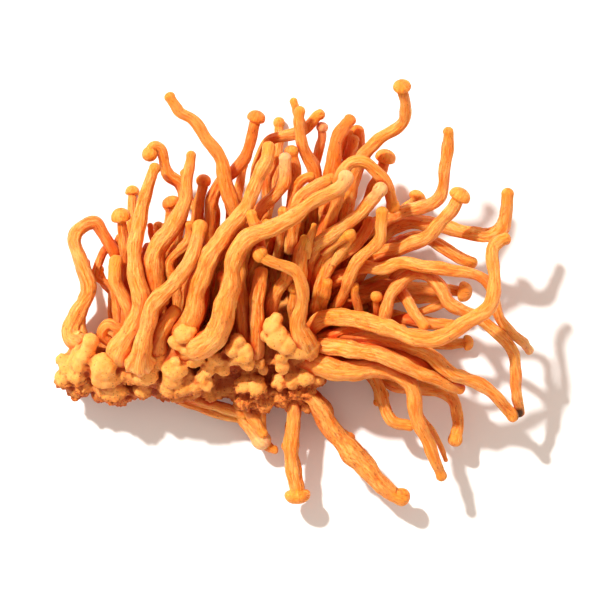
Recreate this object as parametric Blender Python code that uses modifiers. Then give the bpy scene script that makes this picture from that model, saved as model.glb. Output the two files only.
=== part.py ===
"""A dried clump of cordyceps lying on its side: a lumpy base mat and the stalks that grow out of it.

Lengths below are in millimetres, on a drawing grid with X to the right, Y along the growth of the
left-hand stalks and Z up from the surface that the clump lies on.
"""

import bmesh
import bpy
import numpy as np
from mathutils import Matrix, Vector
from mathutils.bvhtree import BVHTree

MM = 0.001
GAP = 0.40

# The routes are drawn as seen from straight above at SEEN_FROM, true to size at SEEN_LEVEL.
SEEN_FROM = 700.0
SEEN_LEVEL = 15.0

# Rings of a stalk: how far the tube may stray from its route, the longest step between rings, and
# the rings of the head as shares of its length and of its radius.
STRAY = 0.19
LONGEST_STEP = 7.5
HEAD_RINGS = ((0.42, 1.0), (0.78, 0.84), (1.0, 0.42))
ROUTE_STEPS = 8
# The share of a stalk, from its foot, that may lie in the base mat and be left out.
BURIED_SHARE = 0.6

# How the stalks are moved clear of each other: rounds, spacing of the points that are tested, how
# much less they move sideways than up and down, the lift of level neighbours and the step sizes.
SPREAD_ROUNDS = 380
PROBE_SPACING = 1.1
SIDEWAYS_SHARE = 0.28
LEVEL_LIFT = 0.12
PUSH_SHARE = 1.1
MAT_PUSH = 0.8
NEIGHBOUR_SHARE = 0.25
LEAST_WEIGHT = 0.5

BASE_VOXEL = 1.35
BASE_TRIANGLES = 1750
LUMP_SEGMENTS = 14
LUMP_RINGS = 9

STALK_COLOUR = (0.90, 0.36, 0.07, 1.0)
BASE_COLOUR = (0.80, 0.40, 0.14, 1.0)
ROUGHNESS = 0.62
SHARP_ANGLE = 0.9

# Lumps of the base mat: centre x, y, z and radius.
LUMPS = (
    (-43.2, -10.6, 12.5, 3.2), (-44.6, -13.6, 11.0, 3.0), (-39.4, -14.6, 12.5, 3.3),
    (-47.0, -15.8, 7.0, 2.2), (-47.3, -12.8, 8.0, 1.8), (-44.4, -17.4, 8.0, 2.3),
    (-37.6, -18.0, 9.5, 2.7), (-35.4, -11.6, 14.0, 3.0), (-31.9, -12.4, 15.5, 3.0),
    (-31.2, -16.2, 12.5, 2.9), (-28.2, -10.4, 15.0, 2.7), (-25.3, -12.4, 15.5, 2.7),
    (-23.0, -16.0, 13.0, 3.7), (-23.2, -8.6, 16.5, 3.1), (-18.6, -15.4, 12.5, 2.6),
    (-15.2, -13.0, 14.0, 2.7), (-12.4, -10.4, 16.0, 3.1), (-8.6, -12.2, 13.5, 2.9),
    (-9.0, -17.2, 9.0, 4.0), (-4.0, -11.8, 14.5, 2.5), (-4.6, -7.8, 16.0, 2.7),
    (0.9, -9.8, 15.0, 3.1), (-0.6, -15.2, 11.5, 3.2), (-3.2, -19.4, 8.0, 3.0),
    (-8.2, -20.0, 6.5, 2.7), (-12.4, -18.2, 7.5, 2.8), (2.6, -14.6, 11.0, 2.7),
    (-18.0, -18.6, 8.5, 2.6), (-27.0, -18.2, 9.0, 2.6), (0.0, -19.0, 8.5, 2.4),
)
# The mat under the lumps: a row of broad cores, then the arm that the right-hand stalks grow from.
CORES = (
    (-42.0, -12.6, 6.2, 5.8), (-37.0, -12.4, 5.8, 6.8), (-31.0, -12.0, 5.6, 7.4),
    (-25.0, -11.8, 5.6, 7.6), (-19.0, -11.6, 5.6, 7.4), (-13.0, -11.6, 5.6, 7.4),
    (-7.0, -11.6, 5.6, 7.4), (-1.6, -10.4, 5.8, 7.4), (1.6, -5.0, 6.4, 6.2),
    (2.6, 0.6, 7.0, 5.2), (-4.0, -4.0, 6.2, 5.6),
)

# Each stalk: name, radius at foot, middle and tip, head radius and length, height of its centre
# line at foot, middle and tip, and the route of its centre line from foot to tip as it looks from
# straight above.
STALKS = (
    # left-hand stalks, from the left edge inwards
    ("stalk_left_hook", (1.6, 1.25, 1.15), (1.15, 1.3), (10.0, 15.0, 13.0),
     [(-46.6, -11.0), (-46.0, -8.2), (-45.1, -4.3), (-43.7, -1.4), (-42.4, 1.4), (-42.5, 3.8),
      (-43.4, 7.1), (-44.6, 10.0), (-45.0, 11.8), (-44.7, 13.4), (-43.8, 14.6), (-42.4, 15.5),
      (-40.9, 15.5), (-40.0, 14.4), (-39.3, 12.8), (-38.4, 11.4), (-37.4, 10.0), (-36.6, 8.6)]),
    ("stalk_left_thin", (0.9, 0.75, 0.75), (0.75, 1.0), (9.0, 10.0, 11.5),
     [(-36.0, -9.0), (-36.6, -3.0), (-37.4, 2.0), (-38.6, 3.3), (-40.1, 4.2), (-40.7, 5.4),
      (-40.3, 6.9), (-39.9, 8.4), (-39.5, 9.7), (-38.2, 10.5), (-36.8, 11.3), (-35.8, 13.0)]),
    ("stalk_left_club", (1.6, 1.4, 1.25), (1.3, 2.2), (16.0, 17.5, 17.5),
     [(-32.4, -9.6), (-33.1, -5.4), (-34.0, -2.6), (-35.4, 0.2), (-36.2, 2.2), (-36.9, 4.4),
      (-37.0, 6.4), (-36.6, 8.9)]),
    ("stalk_left_ball_low", (1.1, 1.0, 0.8), (2.0, 3.3), (11.0, 13.5, 17.0),
     [(-34.8, -9.5), (-34.8, -3.0), (-34.7, 3.0), (-34.9, 7.6), (-35.0, 10.5), (-35.3, 13.4),
      (-35.7, 15.6), (-36.0, 18.2)]),
    ("stalk_left_ball_high", (1.1, 0.9, 0.8), (1.45, 2.5), (4.6, 3.2, 1.45),
     [(-36.0, -9.0), (-35.2, -3.0), (-34.6, 5.0), (-34.4, 12.0), (-33.7, 17.4), (-33.5, 22.8)]),
    ("stalk_left_long_cap", (1.9, 1.45, 0.95), (1.15, 1.7), (17.0, 19.5, 16.0),
     [(-35.6, -10.8), (-35.0, -8.4), (-33.6, -6.2), (-32.5, -4.0), (-32.0, -1.4), (-32.1, 1.4),
      (-32.7, 4.3), (-33.1, 7.2), (-33.1, 10.0), (-32.7, 12.9), (-32.2, 15.8), (-31.5, 18.6),
      (-30.9, 21.4), (-30.0, 24.3), (-28.6, 27.2)]),
    ("stalk_left_hooked_cap", (1.2, 1.1, 1.0), (1.55, 2.4), (4.5, 8.5, 15.0),
     [(-28.5, -8.0), (-27.5, -2.0), (-26.0, 6.0), (-24.2, 14.0), (-23.2, 20.0), (-23.6, 22.6),
      (-24.4, 23.5), (-25.5, 24.3), (-26.4, 25.6), (-26.8, 27.2), (-27.3, 29.0), (-28.2, 30.4),
      (-29.3, 30.7), (-30.0, 29.6), (-30.0, 27.9)]),
    ("stalk_left_bent_knob", (1.9, 1.65, 0.8), (0.92, 1.6), (14.0, 19.0, 21.0),
     [(-27.4, -8.0), (-28.4, -2.0), (-28.9, 1.6), (-29.2, 5.0), (-29.2, 7.4), (-28.6, 10.0),
      (-27.0, 12.3), (-25.4, 14.3), (-24.3, 16.8), (-23.3, 19.4), (-22.9, 22.3), (-22.6, 24.6),
      (-22.0, 27.0), (-21.7, 29.8)]),
    ("stalk_left_hidden_cap", (1.1, 1.0, 0.9), (1.9, 2.5), (8.0, 12.0, 15.0),
     [(-24.5, -7.0), (-25.4, 0.0), (-25.6, 8.0), (-25.0, 14.0), (-25.2, 17.6), (-26.2, 20.6)]),
    ("stalk_left_low_cap", (1.2, 1.1, 0.95), (1.5, 2.4), (8.0, 12.0, 16.0),
     [(-20.5, -7.0), (-20.6, 0.0), (-20.8, 8.0), (-20.9, 14.0), (-20.2, 17.6), (-19.4, 20.0),
      (-19.1, 22.4), (-19.2, 25.0)]),
    ("stalk_left_front_knob", (1.75, 1.4, 1.2), (1.5, 2.3), (19.0, 25.0, 24.0),
     [(-32.0, -12.5), (-31.7, -10.0), (-31.0, -7.1), (-30.4, -4.3), (-29.8, -1.9), (-28.7, -0.3),
      (-26.4, 2.0), (-24.0, 4.3), (-22.7, 5.8), (-21.4, 8.0), (-20.6, 10.4), (-20.1, 12.9),
      (-20.0, 15.9)]),
    ("stalk_left_slim", (1.0, 0.95, 0.8), (0.85, 1.2), (13.5, 17.0, 20.0),
     [(-24.0, -8.0), (-24.6, -1.0), (-25.4, 3.6), (-26.2, 5.6), (-26.4, 7.4), (-25.6, 8.8),
      (-23.9, 10.0), (-22.6, 11.4), (-22.1, 13.2), (-22.2, 15.8)]),
    ("stalk_left_short", (1.7, 1.45, 1.2), (1.15, 1.5), (17.0, 20.0, 20.5),
     [(-29.4, -11.0), (-28.2, -7.0), (-26.6, -4.4), (-24.2, -1.6)]),
    ("stalk_top_left_club", (1.7, 1.5, 1.05), (1.08, 1.5), (11.0, 19.0, 25.0),
     [(-15.0, -8.0), (-15.0, 0.0), (-14.2, 8.0), (-12.8, 14.0), (-12.6, 16.6), (-13.2, 18.8),
      (-14.2, 20.9), (-14.8, 23.0), (-15.2, 25.2), (-15.7, 27.4), (-17.4, 30.3), (-18.5, 31.8),
      (-19.5, 33.6), (-20.5, 35.2), (-21.6, 36.2), (-23.0, 36.9), (-24.2, 37.7), (-25.3, 39.3),
      (-26.5, 41.4)]),
    ("stalk_top_left_cap", (1.25, 1.15, 1.05), (1.85, 2.6), (7.0, 14.0, 20.5),
     [(-18.5, -7.0), (-18.3, 2.0), (-18.2, 11.0), (-18.3, 17.0), (-17.8, 20.2), (-17.0, 22.4),
      (-15.8, 23.9), (-13.9, 25.0), (-12.6, 26.3), (-11.6, 27.8), (-10.7, 29.2), (-10.2, 31.2),
      (-9.7, 33.4), (-9.1, 35.2), (-8.4, 37.7)]),
    ("stalk_front_left", (2.0, 1.55, 1.15), (1.22, 2.0), (20.0, 26.0, 24.0),
     [(-23.6, -7.6), (-21.9, -5.6), (-21.3, -3.7), (-21.1, -1.4), (-20.7, 1.4), (-20.0, 4.3),
      (-19.3, 7.0), (-18.4, 8.8), (-17.2, 10.1), (-15.4, 12.6), (-14.3, 14.0), (-11.8, 16.9),
      (-10.8, 18.9), (-10.0, 21.2), (-8.5, 24.0), (-7.0, 26.9), (-6.4, 29.3), (-6.2, 31.6)]),
    ("stalk_front_long", (2.6, 1.75, 1.45), (1.5, 2.4), (19.5, 29.0, 31.0),
     [(-24.0, -7.4), (-21.8, -8.0), (-19.6, -7.9), (-17.4, -6.7), (-15.9, -4.4), (-14.9, -1.4),
      (-14.2, 1.4), (-13.9, 4.3), (-13.6, 6.9), (-12.7, 9.5), (-11.4, 11.2), (-9.6, 12.5),
      (-7.1, 13.6), (-4.3, 15.0), (-1.4, 16.8), (1.4, 18.9), (4.3, 20.2), (7.1, 21.8),
      (8.7, 23.3), (9.6, 25.8)]),
    # stalks of the middle
    ("stalk_middle_pale_tip", (1.3, 1.3, 1.1), (1.05, 1.8), (12.0, 19.0, 24.0),
     [(-12.5, -8.0), (-12.6, 0.0), (-12.0, 8.0), (-10.6, 13.6), (-9.0, 16.6), (-7.4, 18.6),
      (-5.8, 20.4), (-4.1, 22.2), (-3.1, 24.0), (-3.0, 26.8), (-3.0, 29.4)]),
    ("stalk_middle_slim", (1.2, 1.1, 0.95), (0.95, 1.3), (17.5, 19.5, 20.0),
     [(-11.6, -9.0), (-11.3, -5.7), (-11.5, -2.8), (-11.6, 0.0), (-11.6, 2.9), (-11.8, 5.6),
      (-12.1, 8.4)]),
    ("stalk_middle_upright", (1.5, 1.35, 1.25), (1.25, 1.4), (17.0, 21.5, 22.5),
     [(-9.0, -10.0), (-8.7, -7.6), (-8.6, -5.4), (-8.5, -2.8), (-8.7, 0.0), (-8.2, 2.9),
      (-7.8, 5.0), (-7.8, 6.6)]),
    ("stalk_middle_bent", (2.4, 1.4, 1.35), (1.6, 2.9), (18.5, 26.5, 28.0),
     [(2.4, -10.5), (1.4, -8.8), (0.3, -6.8), (-0.3, -4.4), (0.1, -2.0), (0.4, 0.2), (0.3, 2.4),
      (-0.2, 4.6), (-1.4, 6.1), (-3.6, 7.0), (-6.0, 7.7), (-7.8, 8.9), (-8.5, 10.6)]),
    ("stalk_middle_stub", (1.4, 1.3, 1.15), (1.2, 1.5), (15.5, 19.0, 21.5),
     [(-5.6, -7.0), (-5.8, -2.8), (-5.3, 0.2), (-4.1, 2.2), (-2.7, 3.9), (-2.0, 5.8)]),
    ("stalk_middle_bud", (1.3, 1.6, 0.7), (0.6, 1.2), (12.5, 19.0, 24.0),
     [(1.0, -1.0), (0.4, 3.0), (0.2, 6.6), (0.4, 9.2), (1.1, 12.8)]),
    ("stalk_middle_cap", (1.2, 1.1, 1.0), (1.4, 2.1), (8.0, 15.0, 20.5),
     [(-6.0, -5.0), (-5.4, 4.0), (-3.4, 12.0), (-1.6, 19.0), (-0.9, 24.0), (-1.2, 27.4),
      (-2.0, 30.8)]),
    ("stalk_middle_slant", (1.1, 0.95, 0.9), (0.95, 1.3), (11.0, 15.0, 19.5),
     [(-8.6, -6.0), (-8.6, 3.0), (-7.8, 12.0), (-6.6, 18.8), (-6.8, 22.6), (-6.2, 25.6),
      (-5.2, 27.4), (-4.1, 28.8)]),
    ("stalk_middle_loop", (1.15, 1.25, 1.1), (1.05, 1.4), (21.5, 25.0, 26.0),
     [(-1.8, 11.0), (-1.3, 15.0), (-0.7, 18.2), (0.5, 20.6), (2.2, 22.2), (4.6, 23.3),
      (7.3, 24.2)]),
    # stalks of the top edge
    ("stalk_top_knob", (1.1, 0.95, 0.85), (1.15, 2.0), (2.6, 2.2, 1.15),
     [(-10.5, -6.0), (-9.0, 4.0), (-7.0, 15.0), (-5.0, 26.0), (-4.3, 32.6), (-4.2, 36.5)]),
    ("stalk_top_slant", (1.2, 1.05, 1.0), (1.0, 1.6), (4.0, 11.0, 17.0),
     [(-13.5, -6.5), (-12.0, 6.0), (-10.2, 18.0), (-8.4, 27.0), (-6.8, 30.8), (-5.0, 32.4),
      (-3.2, 33.0), (-1.4, 33.4), (0.2, 33.7), (1.5, 34.4), (2.4, 35.7), (3.5, 36.7),
      (4.9, 37.3)]),
    ("stalk_top_nub", (1.4, 1.2, 0.95), (1.05, 1.8), (6.0, 15.0, 21.0),
     [(-2.6, 1.0), (0.6, 8.0), (2.8, 17.0), (3.2, 22.0), (3.0, 24.8), (2.2, 27.0), (0.9, 29.7),
      (0.1, 32.6), (-0.3, 35.4), (0.1, 38.7)]),
    ("stalk_top_pale_knob", (1.0, 0.9, 0.8), (1.2, 2.0), (4.0, 9.0, 16.0),
     [(0.6, 5.0), (1.8, 14.0), (2.4, 22.0), (2.9, 27.2), (3.8, 29.6), (4.3, 31.6), (4.4, 35.6)]),
    ("stalk_top_thick", (1.6, 1.65, 1.05), (1.05, 1.6), (9.0, 18.0, 22.0),
     [(3.4, 4.0), (5.2, 12.0), (6.2, 20.0), (6.5, 26.0), (7.0, 29.6), (7.5, 32.2), (8.5, 34.3),
      (9.7, 35.6), (10.5, 36.9)]),
    ("stalk_top_twin", (1.1, 1.15, 1.35), (0.9, 2.2), (3.0, 10.0, 17.0),
     [(4.4, 4.6), (7.8, 13.0), (10.0, 20.0), (11.0, 26.0), (11.4, 29.0), (11.7, 31.6),
      (11.2, 34.8)]),
    ("stalk_top_high_cap", (1.3, 1.15, 1.0), (1.78, 2.4), (11.0, 20.0, 34.0),
     [(5.0, 3.0), (7.6, 11.0), (9.6, 20.0), (11.6, 26.4), (12.8, 29.0), (14.3, 30.9),
      (15.9, 32.1), (18.0, 33.4), (19.7, 34.5), (20.9, 35.7), (21.3, 37.1), (21.0, 38.8),
      (20.6, 40.8), (20.3, 43.7)]),
    ("stalk_top_wide_cap", (1.15, 1.1, 1.05), (2.1, 2.8), (6.0, 12.0, 18.0),
     [(5.4, 3.6), (9.6, 11.0), (13.0, 18.4), (15.3, 23.4), (16.5, 26.6), (17.5, 29.8)]),
    ("stalk_top_arch", (1.2, 1.1, 1.05), (1.35, 2.2), (15.0, 27.0, 22.5),
     [(4.2, 5.5), (6.0, 14.0), (7.2, 20.6), (8.1, 25.0), (9.5, 26.9), (11.6, 27.5),
      (13.7, 26.9), (15.2, 25.7), (16.6, 24.3), (17.5, 22.6), (18.0, 20.8), (18.9, 17.7)]),
    # right-hand stalks, from the top down
    ("stalk_right_upright", (1.35, 1.25, 0.92), (0.98, 1.5), (10.0, 17.0, 25.0),
     [(6.0, 4.4), (11.6, 12.0), (15.6, 15.4), (19.7, 17.2), (22.6, 18.2), (25.6, 19.0),
      (27.3, 20.0), (28.4, 22.0), (28.6, 24.6), (29.0, 27.4), (29.6, 30.0), (29.8, 32.4),
      (29.5, 34.5)]),
    ("stalk_right_capped", (1.6, 1.35, 1.15), (2.2, 2.9), (13.0, 21.0, 26.0),
     [(6.6, 2.4), (10.6, 6.0), (14.0, 8.3), (18.3, 10.0), (21.4, 11.0), (24.2, 12.0),
      (26.0, 13.1), (27.4, 14.6), (28.9, 16.3), (30.4, 18.1), (32.7, 22.1)]),
    ("stalk_right_hidden_cap", (1.2, 1.1, 1.0), (1.9, 2.5), (4.5, 4.2, 1.92),
     [(6.8, 2.8), (12.4, 10.0), (18.2, 15.4), (21.8, 18.4), (24.2, 21.4)]),
    ("stalk_right_far", (1.45, 1.4, 1.1), (1.2, 2.0), (8.0, 14.0, 21.5),
     [(7.0, 2.0), (13.0, 9.6), (17.0, 13.4), (20.0, 15.3), (23.0, 15.7), (26.4, 15.2),
      (30.0, 14.3), (33.4, 13.4), (36.4, 13.0), (39.0, 13.4), (40.6, 14.5), (41.2, 16.3),
      (41.3, 18.4), (41.6, 22.3)]),
    ("stalk_right_sweep", (1.55, 1.42, 1.1), (1.1, 1.5), (16.0, 27.5, 25.0),
     [(1.8, -6.6), (2.8, -5.2), (4.6, -4.0), (6.8, -3.4), (9.6, -3.5), (12.3, -4.0),
      (15.1, -4.9), (17.7, -5.8), (20.2, -6.8), (23.0, -7.6), (26.6, -7.8), (29.1, -6.9),
      (31.6, -5.6), (33.9, -4.4), (36.2, -2.9), (37.8, -1.2), (38.6, 0.8), (38.9, 3.2),
      (38.7, 5.9), (38.5, 8.6), (38.8, 10.3), (39.7, 11.6), (41.9, 12.6)]),
    ("stalk_right_pale_knob", (1.4, 1.3, 1.1), (1.4, 2.2), (15.5, 24.0, 26.5),
     [(2.2, 3.6), (2.1, 6.4), (2.7, 9.0), (3.8, 11.2), (5.4, 12.9), (7.8, 14.4), (10.0, 15.8),
      (12.2, 17.7), (14.0, 19.4), (15.4, 21.2), (16.9, 23.3)]),
    ("stalk_right_blunt", (1.1, 1.05, 1.1), (1.2, 1.8), (14.0, 23.0, 27.0),
     [(7.0, -1.0), (9.0, 2.4), (10.2, 5.2), (11.4, 7.4), (13.2, 9.5), (14.8, 11.0),
      (15.9, 12.3), (16.3, 13.9), (16.3, 15.8), (16.5, 18.6)]),
    ("stalk_right_wrinkled", (1.4, 1.3, 1.05), (1.05, 1.4), (14.0, 20.0, 22.0),
     [(3.4, 0.4), (4.2, 4.0), (5.6, 7.2), (7.8, 8.9), (10.0, 10.3), (12.0, 12.2), (13.3, 14.2),
      (14.3, 16.6)]),
    ("stalk_right_wavy", (1.3, 1.12, 0.8), (0.88, 1.3), (15.0, 24.0, 14.5),
     [(2.4, 3.0), (5.7, 3.6), (8.6, 4.6), (11.4, 5.9), (14.3, 6.0), (17.1, 6.6), (20.0, 7.4),
      (22.9, 7.1), (25.7, 6.4), (28.6, 6.0), (31.4, 6.1), (33.4, 5.6), (35.9, 4.8), (37.4, 3.4),
      (38.4, 1.2), (39.0, -1.4), (40.0, -4.0), (41.4, -5.8), (43.0, -7.2), (46.3, -10.5)]),
    ("stalk_right_arched", (1.2, 1.15, 1.0), (1.05, 1.3), (11.0, 21.0, 11.0),
     [(5.0, -6.0), (10.6, -7.0), (14.8, -6.0), (16.8, -3.4), (17.3, -0.9), (18.3, 1.5),
      (19.7, 3.2), (21.4, 4.7), (23.2, 5.6), (25.0, 5.4), (26.6, 4.3), (27.9, 2.5),
      (28.9, 0.5), (30.3, -1.1), (32.3, -2.0), (34.6, -2.8), (36.7, -3.9), (38.6, -5.4),
      (40.8, -7.8), (42.2, -9.6), (43.0, -11.6), (43.1, -16.0), (43.5, -19.6), (43.8, -23.3)]),
    ("stalk_right_fork", (1.1, 1.05, 1.0), (1.0, 1.4), (9.0, 15.5, 19.5),
     [(6.4, 0.4), (12.4, 1.6), (17.0, 3.0), (19.6, 2.4), (20.9, 0.6), (22.0, -1.4),
      (23.5, -3.5), (25.4, -5.9)]),
    ("stalk_right_small_knob", (0.85, 0.75, 0.75), (1.2, 2.0), (9.0, 14.0, 20.0),
     [(5.6, -5.0), (11.0, -6.0), (15.0, -5.2), (15.9, -3.6), (15.7, -2.0), (15.4, 1.5)]),
    ("stalk_right_rough", (1.25, 1.15, 1.1), (1.2, 1.6), (4.5, 8.5, 9.5),
     [(6.6, 1.6), (13.0, 7.6), (20.0, 11.8), (24.6, 12.3), (28.0, 10.9), (31.0, 9.0),
      (35.3, 7.0)]),
    ("stalk_right_cup_cap", (1.2, 1.1, 1.0), (2.1, 3.2), (3.4, 5.0, 8.5),
     [(7.0, 0.0), (14.0, 2.6), (21.0, 2.8), (27.0, 2.2), (34.2, 1.5)]),
    ("stalk_right_dark_cap", (1.0, 0.95, 0.9), (1.6, 2.4), (3.0, 2.4, 1.62),
     [(7.0, -3.4), (14.0, -6.0), (22.0, -8.4), (28.0, -8.8), (34.6, -8.5)]),
    ("stalk_low_right_long", (1.45, 1.3, 1.1), (1.15, 1.5), (13.5, 20.0, 12.0),
     [(4.6, -7.0), (9.0, -7.2), (12.6, -7.0), (16.0, -7.4), (19.4, -8.4), (22.2, -9.3),
      (24.4, -10.4), (26.6, -12.0), (28.9, -14.0), (31.1, -15.4), (33.7, -15.8),
      (36.0, -16.7), (38.0, -18.2), (39.8, -20.1), (43.2, -23.5)]),
    ("stalk_low_right_ribbed", (1.55, 1.4, 1.0), (0.95, 1.3), (16.0, 22.0, 16.0),
     [(3.4, -9.0), (7.1, -9.3), (11.4, -10.0), (16.0, -11.2), (20.0, -12.7), (24.3, -14.4),
      (28.6, -16.3), (32.6, -18.0)]),
    ("stalk_low_right_bent", (2.2, 1.5, 0.9), (1.1, 1.8), (15.0, 17.5, 11.0),
     [(2.0, -10.0), (3.7, -11.9), (5.7, -13.4), (8.3, -14.3), (10.9, -13.9), (13.1, -13.4),
      (15.7, -13.4), (18.6, -14.2), (20.9, -15.8), (22.3, -17.6), (22.9, -19.6), (23.0, -21.4),
      (23.4, -23.4), (25.2, -27.8), (26.4, -30.4), (28.6, -36.0)]),
    ("stalk_low_right_loop", (1.1, 1.1, 1.05), (1.05, 1.3), (8.0, 9.0, 9.0),
     [(4.6, -9.0), (10.0, -12.0), (14.2, -14.4), (15.2, -16.4), (15.8, -18.4), (16.6, -20.6),
      (17.5, -22.8), (18.9, -24.4), (22.8, -25.3)]),
    ("stalk_low_right_knob", (1.3, 1.25, 1.15), (1.45, 2.2), (4.0, 5.0, 6.5),
     [(6.0, -7.6), (12.0, -12.8), (18.0, -16.4), (23.0, -17.6), (26.6, -17.8), (29.4, -18.6),
      (30.9, -20.4), (31.4, -22.4), (31.6, -24.6), (30.8, -29.2)]),
    # stalks that hang below the base
    ("stalk_low_thick", (1.3, 1.9, 1.2), (1.8, 2.7), (12.0, 9.0, 6.6),
     [(1.8, -15.0), (2.2, -18.0), (3.0, -20.4), (4.6, -23.2), (6.8, -26.2), (9.3, -29.0),
      (11.6, -31.8), (14.0, -34.6), (16.6, -37.3), (18.8, -38.9), (21.8, -39.8)]),
    ("stalk_low_hanging_cap", (1.3, 1.45, 1.35), (2.65, 2.8), (9.0, 7.6, 6.0),
     [(-1.0, -19.4), (-1.1, -22.9), (-1.2, -26.0), (-1.8, -28.9), (-1.9, -31.1), (-1.4, -33.4),
      (-0.8, -35.8), (-0.4, -40.6)]),
    ("stalk_low_pale_knob", (1.2, 1.35, 1.4), (1.95, 3.2), (6.5, 5.5, 4.6),
     [(-13.6, -19.6), (-12.0, -22.0), (-10.3, -24.6), (-8.9, -26.9), (-6.4, -29.2)]),
)


def clear_scene():
    """Empties the file of its objects."""
    for thing in list(bpy.data.objects):
        bpy.data.objects.remove(thing, do_unlink=True)


def plain_material(name, colour):
    """A matt Principled material of one colour."""
    made = bpy.data.materials.new(name)
    made.use_nodes = True
    shader = made.node_tree.nodes["Principled BSDF"]
    shader.inputs["Base Color"].default_value = colour
    shader.inputs["Roughness"].default_value = ROUGHNESS
    shader.inputs["Metallic"].default_value = 0.0
    return made


def largest_shell(bm):
    """Deletes every loose shell of the mesh but the one with the most faces."""
    unseen = set(bm.verts)
    shells = []
    while unseen:
        start = unseen.pop()
        shell = [start]
        queue = [start]
        while queue:
            for edge in queue.pop().link_edges:
                for vert in edge.verts:
                    if vert in unseen:
                        unseen.remove(vert)
                        shell.append(vert)
                        queue.append(vert)
        shells.append(shell)
    shells.sort(key=len)
    for shell in shells[:-1]:
        bmesh.ops.delete(bm, geom=shell, context="VERTS")


def evaluated_mesh(thing):
    """A new mesh of the object with its modifiers applied."""
    graph = bpy.context.evaluated_depsgraph_get()
    return bpy.data.meshes.new_from_object(thing.evaluated_get(graph))


def make_base(collection):
    """The base mat: overlapping lumps melted into one skin, then cut flat where it lies."""
    bm = bmesh.new()
    for x, y, z, radius in LUMPS + CORES:
        place = Matrix.Translation(Vector((x, y, z)) * MM)
        bmesh.ops.create_uvsphere(
            bm, u_segments=LUMP_SEGMENTS, v_segments=LUMP_RINGS, radius=radius * MM, matrix=place
        )
    rough = bpy.data.meshes.new("base_rough")
    bm.to_mesh(rough)
    bm.free()
    base = bpy.data.objects.new("base_mat", rough)
    collection.objects.link(base)
    melt = base.modifiers.new("melt", "REMESH")
    melt.mode = "VOXEL"
    melt.voxel_size = BASE_VOXEL * MM
    skin = evaluated_mesh(base)
    base.modifiers.remove(melt)
    base.data = skin
    skin.calc_loop_triangles()
    thin = base.modifiers.new("thin", "DECIMATE")
    thin.ratio = min(1.0, BASE_TRIANGLES / len(skin.loop_triangles))
    thin.use_collapse_triangulate = True
    bm = bmesh.new()
    bm.from_mesh(evaluated_mesh(base))
    base.modifiers.remove(thin)
    largest_shell(bm)
    bmesh.ops.bisect_plane(
        bm, geom=bm.verts[:] + bm.edges[:] + bm.faces[:], dist=1e-6,
        plane_co=(0, 0, 0), plane_no=(0, 0, 1), clear_inner=True,
    )
    largest_shell(bm)
    rim = [edge for edge in bm.edges if edge.is_boundary]
    bmesh.ops.holes_fill(bm, edges=rim, sides=0)
    bmesh.ops.triangulate(bm, faces=[face for face in bm.faces if len(face.verts) > 3])
    bmesh.ops.recalc_face_normals(bm, faces=bm.faces[:])
    tree = BVHTree.FromBMesh(bm)
    bm.to_mesh(skin)
    bm.free()
    skin.shade_smooth()
    skin.set_sharp_from_angle(angle=SHARP_ANGLE)
    skin.materials.append(plain_material("base_mat", BASE_COLOUR))
    return base, tree


def smooth_route(points):
    """Points of a Catmull-Rom curve through the given ones."""
    pts = np.array(points, float)
    pts = np.vstack([2 * pts[0] - pts[1], pts, 2 * pts[-1] - pts[-2]])
    made = []
    for a, b, c, d in zip(pts, pts[1:], pts[2:], pts[3:]):
        for t in np.arange(ROUTE_STEPS) / ROUTE_STEPS:
            made.append(
                0.5 * (2 * b + (c - a) * t + (2 * a - 5 * b + 4 * c - d) * t * t
                       + (3 * b - a - 3 * c + d) * t ** 3)
            )
    made.append(pts[-2])
    return np.array(made)


def lengths_along(points):
    """The distance from the first point to each of the points."""
    steps = np.linalg.norm(np.diff(points, axis=0), axis=1)
    return np.concatenate([[0.0], np.cumsum(steps)])


def through_three(ends, share):
    """A smooth value along a stalk, from its foot, middle and tip values."""
    foot, middle, tip = ends
    bend = 2 * (foot + tip - 2 * middle)
    slope = tip - foot - bend
    return foot + slope * share + bend * share * share


def raised(route, heights):
    """The drawn route with a height for each point, moved to its true place at that height."""
    flat = smooth_route(route)
    along = lengths_along(flat)
    level = through_three(heights, along / along[-1])
    true_size = (SEEN_FROM - level) / (SEEN_FROM - SEEN_LEVEL)
    return np.column_stack([flat * true_size[:, None], level])


def outside_base(line, foot_radius, tree):
    """The line without the stretch at its foot that lies in the base mat."""
    last = int(len(line) * BURIED_SHARE)
    start = 0
    for index in range(last):
        spot = Vector(line[index]) * MM
        near, normal, _, distance = tree.find_nearest(spot)
        inside = (spot - near).dot(normal) < 0
        if inside or distance < (foot_radius + GAP) * MM:
            start = index + 1
    return line[start:]


def ring_stations(line, along, neck):
    """Lengths along the line up to its neck where rings hold the tube close to its bends."""
    body = int(np.searchsorted(along, neck))
    stations = [0.0]
    start = 0
    while start < body:
        end = start + 1
        while end < body and along[end + 1] - along[start] < LONGEST_STEP:
            chord = line[end + 1] - line[start]
            chord = chord / np.linalg.norm(chord)
            offset = line[start:end + 2] - line[start]
            offset = offset - (offset @ chord)[:, None] * chord
            if np.linalg.norm(offset, axis=1).max() > STRAY:
                break
            end += 1
        start = end
        stations.append(min(along[start], neck))
    stations[-1] = neck
    return stations


def stalk_rings(line, radii, head):
    """Ring centres and radii along a stalk, closer together round its head."""
    head_radius, head_length = head
    along = lengths_along(line)
    total = along[-1]
    neck = total - head_length
    stations = ring_stations(line, along, neck)
    widths = [through_three(radii, s / total) for s in stations]
    for length_share, radius_share in HEAD_RINGS:
        stations.append(neck + head_length * length_share)
        widths.append(head_radius * radius_share)
    centres = np.column_stack([np.interp(stations, along, line[:, k]) for k in range(3)])
    return centres, np.array(widths)


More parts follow.
